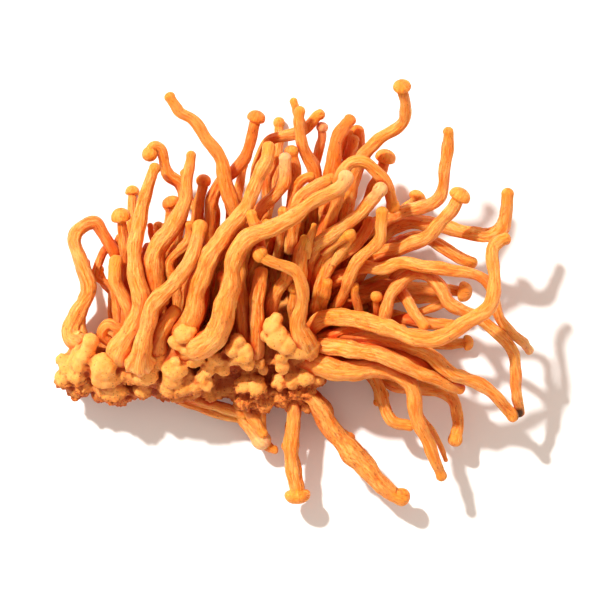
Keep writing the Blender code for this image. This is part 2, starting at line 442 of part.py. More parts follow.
def probe_weights(centres):
    """A matrix that turns ring centres into evenly spaced probes along the tube."""
    along = lengths_along(centres)
    count = max(3, int(along[-1] / PROBE_SPACING))
    probes = np.linspace(0, along[-1], count)
    weights = np.zeros((count, len(centres)))
    for row, s in enumerate(probes):
        k = min(len(centres) - 2, int(np.searchsorted(along, s, side="right")) - 1)
        share = (s - along[k]) / max(along[k + 1] - along[k], 1e-9)
        weights[row, k] = 1 - share
        weights[row, k + 1] = share
    return weights


def smoothed(shift):
    """Shifts along a stalk, each averaged with its neighbours."""
    padded = np.vstack([shift[:1], shift, shift[-1:]])
    sides = NEIGHBOUR_SHARE * (padded[:-2] + padded[2:])
    return sides + (1 - 2 * NEIGHBOUR_SHARE) * padded[1:-1]


def spread_apart(stalks, tree):
    """Moves the stalks, mostly up and down, until each is clear of the others, the mat and the floor."""
    weights = [probe_weights(centres) for centres, _ in stalks]
    owner = np.concatenate([[k] * len(w) for k, w in enumerate(weights)])
    thick = np.concatenate([w @ radii for w, (_, radii) in zip(weights, stalks)])
    reach = thick[:, None] + thick[None, :] + GAP
    reach[owner[:, None] == owner[None, :]] = 0
    centres = [c.copy() for c, _ in stalks]
    favour = np.array([SIDEWAYS_SHARE, SIDEWAYS_SHARE, 1.0])
    for _ in range(SPREAD_ROUNDS):
        probes = np.vstack([w @ c for w, c in zip(weights, centres)])
        apart = probes[:, None, :] - probes[None, :, :]
        distance = np.linalg.norm(apart, axis=2)
        first, second = np.nonzero(distance < reach)
        push = np.zeros_like(probes)
        if len(first):
            away = apart[first, second] * favour
            away[:, 2] += np.where(away[:, 2] >= 0, LEVEL_LIFT, -LEVEL_LIFT)
            away /= np.linalg.norm(away, axis=1)[:, None]
            lack = reach[first, second] - distance[first, second]
            amount = np.bincount(first, minlength=len(probes))
            np.add.at(push, first, away * lack[:, None] / np.maximum(1, amount[first])[:, None])
        clear = True
        for index, spot in enumerate(probes):
            near, normal, _, away_by = tree.find_nearest(Vector(spot) * MM)
            away_by /= MM
            inside = (Vector(spot) * MM - near).dot(normal) < 0
            lack = thick[index] + GAP - (-away_by if inside else away_by)
            if lack > 0:
                push[index] += np.array(normal) * lack * MAT_PUSH
                clear = False
        floor_lack = thick - probes[:, 2]
        push[:, 2] += np.maximum(0, floor_lack)
        if clear and not len(first) and floor_lack.max() <= 0:
            break
        at = 0
        for k, w in enumerate(weights):
            part = push[at:at + len(w)]
            at += len(w)
            share = w.sum(axis=0)[:, None]
            shift = (w.T @ part) / np.maximum(share, LEAST_WEIGHT)
            centres[k] += smoothed(shift) * PUSH_SHARE
    return [(c, radii) for c, (_, radii) in zip(centres, stalks)]


def make_stalk(name, centres, radii, collection, finish):
    """One stalk: a round tube along its centre line, thick and thin with the given radii."""
    curve = bpy.data.curves.new(name, "CURVE")
    curve.dimensions = "3D"
    curve.bevel_depth = MM
    curve.bevel_resolution = 1
    curve.use_fill_caps = True
    spline = curve.splines.new("POLY")
    spline.points.add(len(centres) - 1)
    for point, centre, radius in zip(spline.points, centres, radii):
        point.co = (*(Vector(centre) * MM), 1.0)
        point.radius = radius
    spline.use_smooth = True
    stalk = bpy.data.objects.new(name, curve)
    collection.objects.link(stalk)
    curve.materials.append(finish)
    return stalk


def main():
    """Builds the clump and puts its origin under the middle of its box."""
    clear_scene()
    parts = bpy.data.collections.new("dried_cordyceps")
    bpy.context.scene.collection.children.link(parts)
    base, tree = make_base(parts)
    shaped = []
    for _, radii, head, heights, route in STALKS:
        line = outside_base(raised(route, heights), radii[0], tree)
        shaped.append(stalk_rings(line, radii, head))
    pieces = [base]
    for spec, (centres, radii) in zip(STALKS, spread_apart(shaped, tree)):
        name = spec[0]
        pieces.append(make_stalk(name, centres, radii, parts, plain_material(name, STALK_COLOUR)))
    bpy.context.view_layer.update()
    graph = bpy.context.evaluated_depsgraph_get()
    corners = []
    for piece in pieces:
        mesh = piece.evaluated_get(graph).to_mesh()
        corners += [tuple(vert.co) for vert in mesh.vertices]
    corners = np.array(corners)
    low = corners.min(axis=0)
    high = corners.max(axis=0)
    clump = bpy.data.objects.new("clump", None)
    parts.objects.link(clump)
    clump.location = (-(low[0] + high[0]) / 2, -(low[1] + high[1]) / 2, 0.0)
    for piece in pieces:
        piece.parent = clump


main()
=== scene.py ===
import math

import bmesh
import bpy
import numpy as np
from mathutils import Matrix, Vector
from mathutils.bvhtree import BVHTree


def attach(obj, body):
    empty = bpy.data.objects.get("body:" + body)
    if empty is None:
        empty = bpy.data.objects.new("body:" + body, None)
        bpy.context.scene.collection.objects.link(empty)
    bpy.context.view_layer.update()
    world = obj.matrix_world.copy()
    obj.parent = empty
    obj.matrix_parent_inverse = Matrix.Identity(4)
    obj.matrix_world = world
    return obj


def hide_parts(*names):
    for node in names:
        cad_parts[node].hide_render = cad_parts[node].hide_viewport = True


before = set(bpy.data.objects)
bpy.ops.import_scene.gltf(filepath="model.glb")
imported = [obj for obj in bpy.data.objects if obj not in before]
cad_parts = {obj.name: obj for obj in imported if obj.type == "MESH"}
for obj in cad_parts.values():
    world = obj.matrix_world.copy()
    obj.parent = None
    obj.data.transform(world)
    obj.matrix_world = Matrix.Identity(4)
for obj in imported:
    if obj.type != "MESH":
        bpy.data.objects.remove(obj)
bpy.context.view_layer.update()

bpy.ops.object.select_all(action="DESELECT")

# ---------------------------------------------------------------------------------------------
# The base mat: the felted skin that the whole clump grew on, dried into pale rounded knobs on top
# and a crumbly torn underside. It is one piece, and every stalk is rooted in it.
# ---------------------------------------------------------------------------------------------
MM = 0.001
MAT_NODE = "base_mat"
MAT_VOXEL = 0.32 * MM
# Points of a CAD piece closer than this are one point.
WELD = 0.002 * MM
# The tables of small forms are drawn as seen by an eye straight above, at this height over the
# floor, and are true to size at the second height; each point has its height as third number.
SEEN_FROM = 700.0
SEEN_TRUE = 15.0
FRAME_SHIFT = (1.04, -0.66)
# Rounded lumps on the mat: x, y, height and radius, in millimetres.
LUMPS = (
    # the blunt finger at the left end, and the lobes under it
    (-42.0, -8.4, 16.8, 1.6), (-42.5, -9.8, 16.0, 1.7), (-43.1, -11.3, 15.0, 1.9), (-43.7, -12.9, 13.8, 2.1),
    (-47.0, -12.3, 11.0, 1.7), (-46.2, -13.6, 11.5, 1.9), (-46.7, -15.7, 10.0, 2.1), (-45.0, -18.0, 8.0, 1.8),
    (-43.3, -17.0, 10.5, 2.0), (-44.4, -14.6, 12.4, 2.3),
    # the round knob beside it, on its crumbly stump
    (-39.3, -13.4, 16.6, 2.6), (-39.0, -15.2, 14.5, 2.7), (-37.6, -17.8, 11.0, 3.0), (-35.8, -19.2, 8.0, 2.1),
    (-39.6, -18.4, 8.6, 2.1), (-36.3, -11.8, 16.0, 1.9), (-36.0, -14.4, 14.0, 2.0),
    # the bulb with its layers
    (-32.3, -12.1, 17.8, 2.5), (-31.0, -14.4, 15.8, 2.3), (-33.2, -15.0, 14.0, 2.0),
    (-31.3, -17.6, 11.5, 2.1),
    (-33.6, -18.2, 9.4, 1.7), (-29.2, -15.6, 13.5, 1.7), (-28.4, -11.8, 16.4, 1.9),
    # the ringed knob and the wide apron below it
    (-25.0, -12.4, 18.6, 1.6), (-25.0, -13.8, 17.4, 2.1), (-25.2, -15.4, 15.6, 2.3),
    (-26.4, -17.0, 13.6, 2.0),
    (-23.6, -17.2, 13.8, 2.2), (-21.2, -16.9, 14.0, 2.1), (-18.9, -16.2, 14.6, 1.9),
    (-24.6, -18.8, 11.2, 1.7),
    (-21.8, -18.6, 11.0, 1.5), (-17.8, -12.9, 17.6, 1.2), (-18.6, -14.2, 17.0, 1.3),
    (-19.6, -15.6, 16.2, 1.4),
    # the swollen foot in front and what it stands on
    (-24.3, -8.4, 20.6, 1.8), (-22.9, -6.8, 21.6, 2.3), (-22.3, -9.4, 20.0, 2.0), (-21.0, -11.4, 18.4, 2.0),
    (-16.6, -11.6, 18.0, 1.7), (-15.4, -13.6, 16.4, 1.6),
    # the pale knob of two lobes
    (-13.7, -9.9, 20.2, 1.7), (-11.1, -10.5, 20.0, 1.7), (-12.6, -8.2, 20.6, 1.5), (-13.5, -12.2, 18.4, 1.2),
    (-10.6, -12.6, 18.2, 1.3), (-12.1, -11.4, 19.4, 1.5), (-8.0, -12.6, 16.6, 1.0), (-7.4, -14.0, 15.2, 0.9),
    # the big pale lump, and the joint it runs into
    (-5.5, -5.4, 21.6, 1.8), (-4.6, -7.4, 21.0, 2.1), (-2.6, -8.6, 20.4, 2.0), (-6.3, -7.2, 20.0, 1.4),
    (-0.8, -10.2, 19.4, 1.8), (1.2, -9.2, 19.8, 2.0), (-4.6, -3.6, 21.8, 1.2),
    (-3.8, -11.4, 18.8, 1.4), (-3.5, -13.2, 17.4, 1.4),
    # the brown block and the crumbly cluster on the underside
    (-11.4, -17.0, 12.6, 1.8), (-8.6, -17.2, 12.8, 2.0), (-10.8, -19.6, 9.6, 2.0), (-7.6, -20.2, 9.0, 2.0),
    (-12.0, -21.0, 7.0, 1.4), (-9.2, -22.0, 6.2, 1.5), (-4.2, -16.4, 13.0, 1.6), (-1.6, -15.8, 14.0, 1.8),
    (1.2, -15.4, 14.4, 1.8), (-3.4, -19.0, 10.4, 1.7), (-0.6, -18.6, 11.2, 1.8), (2.0, -18.4, 11.0, 1.6),
    (-1.8, -21.4, 7.8, 1.5), (1.2, -21.2, 8.0, 1.4), (3.6, -15.6, 12.6, 1.6),
)
# Hollows between them, pushed in and darkened with painted shade: x, y, height, how wide and how deep.
HOLLOWS = (
    (-15.4, -17.6, 13.0, 3.4, 2.6), (-35.0, -16.2, 13.0, 1.7, 1.3), (-28.2, -17.2, 12.4, 1.8, 1.5),
    (-6.2, -15.2, 13.6, 2.2, 1.8), (-6.6, -10.6, 18.0, 2.4, 2.0), (-18.6, -9.6, 19.0, 2.0, 1.6),
    (-28.4, -8.4, 18.0, 2.0, 1.6), (-41.4, -15.6, 12.0, 1.6, 1.2), (-9.4, -14.6, 15.6, 2.0, 1.6),
)
# Parts of the underside that are browned and crumbly all over, with painted shade in the dark hollow among
# them: x, y, height and reach.
BROWNED_AND_SHADED = (
    (-9.6, -19.6, 9.6, 4.4), (-1.0, -18.8, 10.6, 4.8), (-38.0, -18.6, 9.4, 2.8), (-33.2, -18.6, 9.2, 2.4),
    (-45.0, -18.6, 7.4, 1.9), (-15.4, -17.8, 12.6, 3.4), (-24.0, -20.0, 9.6, 2.4),
)
# How much bigger the lumps are made than drawn, and how far each is stretched or squashed.
LUMP_SIZE = 1.10
LUMP_STRETCH = (0.90, 1.14)
# Small nodules set at random on the lumps: how many, how far out on the lump, radius and stretch.
NODULES = 90
NODULE_SEAT = 0.92
NODULE_RADIUS = (0.35, 0.75)
NODULE_STRETCH = (0.75, 1.2)
MAT_SEED = 11
# Relief of the mat: height and cell size in millimetres and seed of each layer of noise.
SWELLS = ((0.36, 2.4, 3), (0.22, 1.1, 4))
GRIT = (0.09, 0.48, 5)
CRUMBS = ((0.55, 0.95, 6), (0.25, 0.55, 7))
CRUMB_LEVEL = 0.3
CRUMB_HEIGHT = 1.6
# The torn skin and its painted shade fade out below this height, over this depth.
TORN_BELOW = 18.0
TORN_FADE = 5.0
# Rounds of smoothing that flatten a copy of the mat, which shows up the hollows for their painted shade.
EVEN_ROUNDS = 26


# Large odd numbers that scatter the cells of the noise.
MIX_X, MIX_Y, MIX_Z, MIX_AGAIN = 73856093, 19349663, 83492791, 1274126177
SEED_STEP, SEED_START = 40503, 977


def soft_noise(points, seed):
    """Smooth noise from -1 to 1 at points whose units are the noise's own cells."""
    cell = np.floor(points).astype(np.int64)
    part = points - cell
    part = part * part * (3 - 2 * part)
    total = np.zeros(len(points))
    for corner in np.ndindex(2, 2, 2):
        at = cell + corner
        mixed = (seed * SEED_STEP + SEED_START) ^ at[:, 0] * MIX_X ^ at[:, 1] * MIX_Y ^ at[:, 2] * MIX_Z
        mixed = (mixed ^ (mixed >> 13)) * MIX_AGAIN
        value = ((mixed ^ (mixed >> 16)) & 0xFFFF) / 32767.5 - 1
        share = np.where(corner, part, 1 - part).prod(axis=1)
        total += value * share
    return total


def coordinates(mesh):
    """The mesh's vertices as rows, in millimetres."""
    flat = np.zeros(len(mesh.vertices) * 3, np.float32)
    mesh.vertices.foreach_get("co", flat)
    return flat.reshape(-1, 3).astype(float) / MM


def put_coordinates(mesh, rows):
    """Moves the mesh's vertices to rows given in millimetres."""
    mesh.vertices.foreach_set("co", (rows * MM).astype(np.float32).ravel())
    mesh.update()


def normals_of(mesh):
    """The mesh's vertex normals as rows."""
    flat = np.zeros(len(mesh.vertices) * 3, np.float32)
    mesh.vertex_normals.foreach_get("vector", flat)
    return flat.reshape(-1, 3).astype(float)


def number_on(mesh, name, values):
    """Stores one number per vertex under that name, for a material to read."""
    layer = mesh.attributes.new(name, "FLOAT", "POINT")
    layer.data.foreach_set("value", values.astype(np.float32))


def apply_all(piece):
    """Applies the piece's modifiers, as the buttons would."""
    bpy.ops.object.select_all(action="DESELECT")
    piece.select_set(True)
    bpy.context.view_layer.objects.active = piece
    for modifier in list(piece.modifiers):
        bpy.ops.object.modifier_apply(modifier=modifier.name)


def merged_copy(node, name):
    """A copy of a CAD node with its loose triangles joined up."""
    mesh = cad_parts[node].data.copy()
    bm = bmesh.new()
    bm.from_mesh(mesh)
    bmesh.ops.remove_doubles(bm, verts=bm.verts[:], dist=WELD)
    bm.to_mesh(mesh)
    bm.free()
    mesh.materials.clear()
    piece = bpy.data.objects.new(name, mesh)
    bpy.context.scene.collection.objects.link(piece)
    return piece


def placed(points):
    """Points drawn as seen from straight above, moved to their true place in the frame."""
    rows = np.array(points, float)[:, :3]
    true_size = (SEEN_FROM - rows[:, 2]) / (SEEN_FROM - SEEN_TRUE)
    rows[:, :2] = rows[:, :2] * true_size[:, None] + FRAME_SHIFT
    return rows


mat = merged_copy(MAT_NODE, "mat_skin")
mat_tree = BVHTree.FromObject(mat, bpy.context.evaluated_depsgraph_get())
round_off = mat.modifiers.new("round_off", "SUBSURF")
round_off.levels = 2
round_off.render_levels = 2
apply_all(mat)
bare = coordinates(mat.data)
bare_out = normals_of(mat.data)
for (*_, wide, deep), spot in zip(HOLLOWS, placed(HOLLOWS)):
    near = np.exp(-((bare - spot) ** 2).sum(axis=1) / wide ** 2)
    bare = bare - bare_out * (near * deep)[:, None]
put_coordinates(mat.data, bare)
mat_seed = np.random.default_rng(MAT_SEED)
grown_on = []
lump_spots = placed(LUMPS)
for (*_, radius), spot in zip(LUMPS, lump_spots):
    bpy.ops.mesh.primitive_ico_sphere_add(subdivisions=3, radius=radius * LUMP_SIZE * MM, location=spot * MM)
    lump = bpy.context.active_object
    lump.scale = mat_seed.uniform(*LUMP_STRETCH, 3)
    grown_on.append(lump)
while len(grown_on) < len(LUMPS) + NODULES:
    pick = mat_seed.integers(len(LUMPS))
    way = mat_seed.normal(0, 1, 3)
    spot = lump_spots[pick] + way / np.linalg.norm(way) * LUMPS[pick][3] * NODULE_SEAT
    bpy.ops.mesh.primitive_ico_sphere_add(
        subdivisions=2, radius=mat_seed.uniform(*NODULE_RADIUS) * MM, location=spot * MM
    )
    nodule = bpy.context.active_object
    nodule.scale = mat_seed.uniform(*NODULE_STRETCH, 3)
    grown_on.append(nodule)
bpy.ops.object.select_all(action="DESELECT")
for piece in grown_on:
    piece.select_set(True)
mat.select_set(True)
bpy.context.view_layer.objects.active = mat
bpy.ops.object.join()
melt = mat.modifiers.new("melt", "REMESH")
melt.mode = "VOXEL"
melt.voxel_size = MAT_VOXEL
settle = mat.modifiers.new("settle", "SMOOTH")
settle.factor = 0.5
settle.iterations = 3
apply_all(mat)

skin = coordinates(mat.data)
face_out = normals_of(mat.data)
# The underside is torn and crumbly, and the faces turned down and away from the light are marked for painted
# shade as well; the tops of the knobs stay smooth.
torn_and_shaded = np.clip(-face_out[:, 1] - face_out[:, 2] * 0.7 + 0.30, 0, 1)
torn_and_shaded *= np.clip((TORN_BELOW - skin[:, 2]) / TORN_FADE, 0, 1)
for (*_, reach), spot in zip(BROWNED_AND_SHADED, placed(BROWNED_AND_SHADED)):
    torn_and_shaded = np.maximum(torn_and_shaded, 0.95 * np.exp(-(np.linalg.norm(skin - spot, axis=1) / reach) ** 4))
swell = sum(height * soft_noise(skin / cell, seed) for height, cell, seed in SWELLS)
grit = GRIT[0] * soft_noise(skin / GRIT[1], GRIT[2])
crumbs = sum(height * np.abs(soft_noise(skin / cell, seed)) for height, cell, seed in CRUMBS) - CRUMB_LEVEL
skin_moved = skin + face_out * (swell + grit + torn_and_shaded * crumbs * CRUMB_HEIGHT)[:, None]
skin_moved[:, 2] = np.maximum(skin_moved[:, 2], 0.0)
put_coordinates(mat.data, skin_moved)

even = bpy.data.objects.new("even", mat.data.copy())
bpy.context.scene.collection.objects.link(even)
level_off = even.modifiers.new("level_off", "SMOOTH")
level_off.factor = 0.8
level_off.iterations = EVEN_ROUNDS
apply_all(even)
evened = coordinates(even.data)
bpy.data.objects.remove(even)
face_out = normals_of(mat.data)
# How far each point sits in a hollow, which paints shade there; the listed hollows get more of it.
hollow_shade = ((evened - skin_moved) * face_out).sum(axis=1)
for (*_, wide, deep), spot in zip(HOLLOWS, placed(HOLLOWS)):
    hollow_shade = hollow_shade + 0.30 * np.exp(-((skin_moved - spot) ** 2).sum(axis=1) / (0.8 * wide) ** 2)
number_on(mat.data, "hollow_shade", np.clip(0.5 + hollow_shade * 0.9, 0, 1))
number_on(mat.data, "torn_and_shaded", torn_and_shaded)


def all_triangles(pieces):
    """One search tree over the surfaces of all these pieces, in metres."""
    corners = []
    faces = []
    for piece in pieces:
        start = len(corners)
        corners += [vert.co[:] for vert in piece.data.vertices]
        faces += [[start + index for index in face.vertices] for face in piece.data.polygons]
    return BVHTree.FromPolygons(corners, faces)


OPEN_SKY = [Vector(way).normalized() for way in (
    (0, 0, 1), (-0.6, 0.75, 1), (0.9, 0.2, 0.7), (-0.9, -0.2, 0.7), (0.2, -0.9, 0.7), (0.1, 0.9, 0.5),
)]
CLEAR_WAY = 9.0 * MM


def shut_in(points, outward):
    """How far each point, in millimetres, is shut in by what stands around and over it: 0 to 1. It is used to
    paint shade.
    """
    shares = np.zeros(len(points))
    for index, (point, out) in enumerate(zip(points, outward)):
        start = Vector((point + out * 0.45) * MM)
        for way in OPEN_SKY:
            _, _, _, distance = whole_tree.ray_cast(start, way, CLEAR_WAY)
            if distance is not None:
                shares[index] += 1 - 0.5 * distance / CLEAR_WAY
    return shares / len(OPEN_SKY)


whole_tree = all_triangles(
    [piece for node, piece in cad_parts.items() if node != MAT_NODE] + [mat]
)
# Painted shade on the mat where it is shut in.
number_on(mat.data, "deep", shut_in(skin_moved, face_out))


def shader_of(name, roughness, glow_depth, glow):
    """A new material with its Principled shader; glow is how much light passes under the skin."""
    made = bpy.data.materials.new(name)
    made.use_nodes = True
    shader = made.node_tree.nodes["Principled BSDF"]
    shader.inputs["Roughness"].default_value = roughness
    shader.inputs["Specular IOR Level"].default_value = 0.24
    shader.inputs["Subsurface Weight"].default_value = glow
    shader.inputs["Subsurface Radius"].default_value = (1.0, 0.24, 0.05)
    shader.inputs["Subsurface Scale"].default_value = glow_depth
    return made, made.node_tree.nodes, made.node_tree.links, shader


def stretched_noise(nodes, links, vector, stretch, detail, rough):
    """Noise read at that vector, with its own scale along each axis."""
    mapping = nodes.new("ShaderNodeMapping")
    mapping.inputs["Scale"].default_value = stretch
    links.new(vector, mapping.inputs["Vector"])
    noise = nodes.new("ShaderNodeTexNoise")
    noise.inputs["Scale"].default_value = 1.0
    noise.inputs["Detail"].default_value = detail
    noise.inputs["Roughness"].default_value = rough
    links.new(mapping.outputs["Vector"], noise.inputs["Vector"])
    return noise.outputs["Fac"]


def ramp(nodes, links, value, stops):
    """A colour ramp over the value, with (place, colour) stops."""
    made = nodes.new("ShaderNodeValToRGB")
    while len(made.color_ramp.elements) < len(stops):
        made.color_ramp.elements.new(0.5)
    for element, (place, colour) in zip(made.color_ramp.elements, stops):
        element.position = place
        element.color = (*colour, 1.0)
    links.new(value, made.inputs["Fac"])
    return made.outputs["Color"]


def blend_colours(nodes, links, share, below, above, how="MIX"):
    """One colour over another by a share, which is a socket or a number."""
    made = nodes.new("ShaderNodeMix")
    made.data_type = "RGBA"
    made.blend_type = how
    if isinstance(share, (int, float)):
        made.inputs[0].default_value = share
    else:
        links.new(share, made.inputs[0])
    for socket, colour in ((made.inputs[6], below), (made.inputs[7], above)):
        if isinstance(colour, tuple):
            socket.default_value = (*colour, 1.0)
        else:
            links.new(colour, socket)
    return made.outputs[2]


def number_from(nodes, name):
    """The number stored on the mesh under that name."""
    made = nodes.new("ShaderNodeAttribute")
    made.attribute_name = name
    return made.outputs["Fac"]


def span(nodes, links, value, low, high, out_low=0.0, out_high=1.0):
    """The value from low to high, mapped to out_low to out_high and held there."""
    made = nodes.new("ShaderNodeMapRange")
    made.inputs["From Min"].default_value = low
    made.inputs["From Max"].default_value = high
    made.inputs["To Min"].default_value = out_low
    made.inputs["To Max"].default_value = out_high
    links.new(value, made.inputs["Value"])
    return made.outputs["Result"]


def sum_of(nodes, links, operation, *values):
    """A sum in a material of values that are each a socket or a number."""
    made = nodes.new("ShaderNodeMath")
    made.operation = operation
    for socket, value in zip(made.inputs, values):
        if isinstance(value, (int, float)):
            socket.default_value = value
        else:
            links.new(value, socket)
    return made.outputs[0]


def bump(nodes, links, height, depth, strength, shader, under=None):
    """Fine relief on the shader's surface, depth metres high."""
    made = nodes.new("ShaderNodeBump")
    made.inputs["Strength"].default_value = strength
    made.inputs["Distance"].default_value = depth
    links.new(height, made.inputs["Height"])
    if under is not None:
        links.new(under, made.inputs["Normal"])
    links.new(made.outputs["Normal"], shader.inputs["Normal"])
    return made.outputs["Normal"]


PALE_PEACH = (0.96, 0.43, 0.105)
WARM_ORANGE = (0.90, 0.31, 0.045)
BURNT_ORANGE = (0.50, 0.085, 0.008)
DARK_CREVICE = (0.09, 0.012, 0.003)
# Colours of painted shade where a surface is shut in: on the stalks, and on the mat.
SHADE_RED = (0.70, 0.065, 0.002)
SHADE_BROWN = (0.34, 0.038, 0.004)
RUSTY_ORANGE = (0.74, 0.22, 0.030)

mat_finish, nodes, links, shader = shader_of("mat_finish", 0.74, 1.1 * MM, 0.34)
place = nodes.new("ShaderNodeTexCoord").outputs["Object"]
broad = stretched_noise(nodes, links, place, (420, 420, 420), 3, 0.55)
fine = stretched_noise(nodes, links, place, (1700, 1700, 1700), 4, 0.65)
speck = stretched_noise(nodes, links, place, (2600, 2600, 2600), 2, 0.5)
hollow_shade_part = number_from(nodes, "hollow_shade")
torn_and_shaded_part = number_from(nodes, "torn_and_shaded")
top = ramp(nodes, links, broad, [(0.30, WARM_ORANGE), (0.62, PALE_PEACH)])
crust = ramp(nodes, links, fine, [(0.34, DARK_CREVICE), (0.45, BURNT_ORANGE), (0.62, RUSTY_ORANGE)])
# The torn, down-turned faces take the dark crust colour, which is partly painted shade.
colour = blend_colours(nodes, links, span(nodes, links, torn_and_shaded_part, 0.15, 0.8, 0.10, 0.85), top, crust)
# Painted shade in the hollows: burnt orange, and near black in the deepest.
colour = blend_colours(nodes, links, span(nodes, links, hollow_shade_part, 0.54, 0.74), colour, BURNT_ORANGE)
deepest_hollow_shade = span(nodes, links, hollow_shade_part, 0.74, 0.98, 0.0, 0.85)
colour = blend_colours(nodes, links, deepest_hollow_shade, colour, DARK_CREVICE)
# Painted shade, dark brown, where the mat is shut in by what stands over it.
mat_shut_in_shade = number_from(nodes, "deep")
colour = blend_colours(nodes, links, span(nodes, links, mat_shut_in_shade, 0.10, 0.60, 0.0, 0.90), colour, SHADE_BROWN)
speck_part = span(nodes, links, speck, 0.63, 0.68)
dots = sum_of(nodes, links, "MULTIPLY", speck_part, span(nodes, links, torn_and_shaded_part, 0.0, 0.7, 0.55, 0.95))
colour = blend_colours(nodes, links, dots, colour, DARK_CREVICE)
links.new(colour, shader.inputs["Base Color"])
bump(nodes, links, fine, 0.16 * MM, 0.9, shader)
mat.data.materials.append(mat_finish)
mat.data.shade_smooth()
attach(mat, "root")
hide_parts(MAT_NODE)

# ---------------------------------------------------------------------------------------------
# The stalks: slender fruiting bodies, dried so that the skin draws into fine ribs along them, each
# ending in a smoother rounded head. Each is drawn out of a ball along the line of its CAD tube,
# and its foot runs on into the mat.
# ---------------------------------------------------------------------------------------------
# Spacing of the rings along a stalk and points around it.
RING_STEP = 0.34
AROUND = 30
# How deep a foot is sunk in the mat, how far off the mat may be for that, and how much fuller the
# skin is than the CAD tube.
FOOT_SINK = 1.3
FOOT_REACH = 7.0
FULLER = 1.08
# A CAD tube has this many sides, ends in a flat cap of this many triangles, and its cap is round
# to within this share.
TUBE_SIDES = 6
CAP_TRIANGLES = 4
CAP_ROUND = 1.06
SAME_PLANE = 0.9999
# The last three rings of a line make its head: distance from the tip as a share of the head's
# length, and share of its radius.
HEAD_RINGS = ((0.58, 1.0), (0.22, 0.84), (0.0, 0.42))
# Slow waves in a stalk's width, as shares of it, and in its line, in mm: height and length.
WIDTH_WAVES = ((0.05, 1.9), (0.045, 0.83), (0.04, 3.7))
SIDE_WAVES = ((0.13, 2.3), (0.08, 1.1))
UP_WAVES = ((0.13, 2.7), (0.08, 1.3))
# Ribs: height, number around, how far they wind and over what length; and lumps: height and cells.
RIBS = ((0.060, 5, 0.9, 6.1), (0.060, 8, 1.1, 4.3), (0.042, 13, 1.3, 5.2))
SKIN_LUMPS = ((0.06, (0.9, 0.9, 0.55)), (0.04, (2.4, 2.4, 0.9)))
# Lengths in mm over which the colours of head, foot, pale tip and ruddy part come in.
HEAD_FADE = 0.8
FOOT_FADE = 7.0
PALE_FROM = 5.5
PALE_FADE = 4.5
RUDDY_FADE = 3.0
# How far a stalk is shut in, for its painted shade, is felt at every third ring, on eight sides.
FELT_EVERY = 3
FELT_SIDES = 8
FOOT_BULBS = {
    "stalk_front_long": 1.05, "stalk_front_left": 1.30, "stalk_left_front_knob": 1.45,
    "stalk_left_long_cap": 1.40, "stalk_left_short": 1.25, "stalk_middle_bent": 1.25,
    "stalk_left_hook": 1.25, "stalk_left_club": 1.2, "stalk_middle_slim": 1.5,
    "stalk_middle_upright": 1.35, "stalk_middle_stub": 1.4,
}


def tube_rings(node):
    """Centres and radii of a CAD tube's rings, from its foot to its tip, in millimetres."""
    bm = bmesh.new()
    bm.from_mesh(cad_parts[node].data)
    bmesh.ops.remove_doubles(bm, verts=bm.verts[:], dist=WELD)
    bm.verts.ensure_lookup_table()
    bm.faces.ensure_lookup_table()
    bm.normal_update()
    caps = []
    seen = set()
    for face in bm.faces:
        if face in seen:
            continue
        patch = [face]
        queue = [face]
        seen.add(face)
        while queue:
            here = queue.pop()
            for edge in here.edges:
                for other in edge.link_faces:
                    if other not in seen and other.normal.dot(here.normal) > SAME_PLANE:
                        seen.add(other)
                        patch.append(other)
                        queue.append(other)
        corners = {vert for item in patch for vert in item.verts}
        if len(corners) != TUBE_SIDES or len(patch) != CAP_TRIANGLES:
            continue
        middle = sum((vert.co for vert in corners), Vector()) / TUBE_SIDES
        reach = [(vert.co - middle).length for vert in corners]
        if max(reach) < CAP_ROUND * min(reach):
            caps.append(corners)
    layer = caps[0]
    done = set(layer)
    rings = []
    while layer:
        middle = sum((vert.co for vert in layer), Vector()) / len(layer)
        reach = sum((vert.co - middle).length for vert in layer) / len(layer)
        rings.append((*(middle / MM), reach / MM))
        near = {edge.other_vert(vert) for vert in layer for edge in vert.link_edges}
        layer = near - done
        done |= layer
    bm.free()
    rings = np.array(rings)
    if rings[0, 3] / rings[1, 3] < rings[-1, 3] / rings[-2, 3]:
        rings = rings[::-1]
    return rings[:, :3], rings[:, 3]


def through(rows, stations, wanted):
    """A Catmull-Rom curve through the rows, read at the wanted stations."""
    rows = np.vstack([2 * rows[0] - rows[1], rows, 2 * rows[-1] - rows[-2]])
    first = 2 * stations[0] - stations[1]
    last = 2 * stations[-1] - stations[-2]
    knots = np.concatenate([[first], stations, [last]])
    k = np.clip(np.searchsorted(knots, wanted, side="right") - 1, 1, len(knots) - 3)
    t = ((wanted - knots[k]) / (knots[k + 1] - knots[k]))[:, None]
    before, here, after, beyond = rows[k - 1], rows[k], rows[k + 1], rows[k + 2]
    width = (knots[k + 1] - knots[k])[:, None]
    slope_here = (after - before) / (knots[k + 1] - knots[k - 1])[:, None] * width
    slope_after = (beyond - here) / (knots[k + 2] - knots[k])[:, None] * width
    return (
        (2 * t ** 3 - 3 * t ** 2 + 1) * here + (t ** 3 - 2 * t ** 2 + t) * slope_here
        + (3 * t ** 2 - 2 * t ** 3) * after + (t ** 3 - t ** 2) * slope_after
    )


def running_length(rows):
    """The distance along the rows from the first to each."""
    return np.concatenate([[0.0], np.cumsum(np.linalg.norm(np.diff(rows, axis=0), axis=1))])


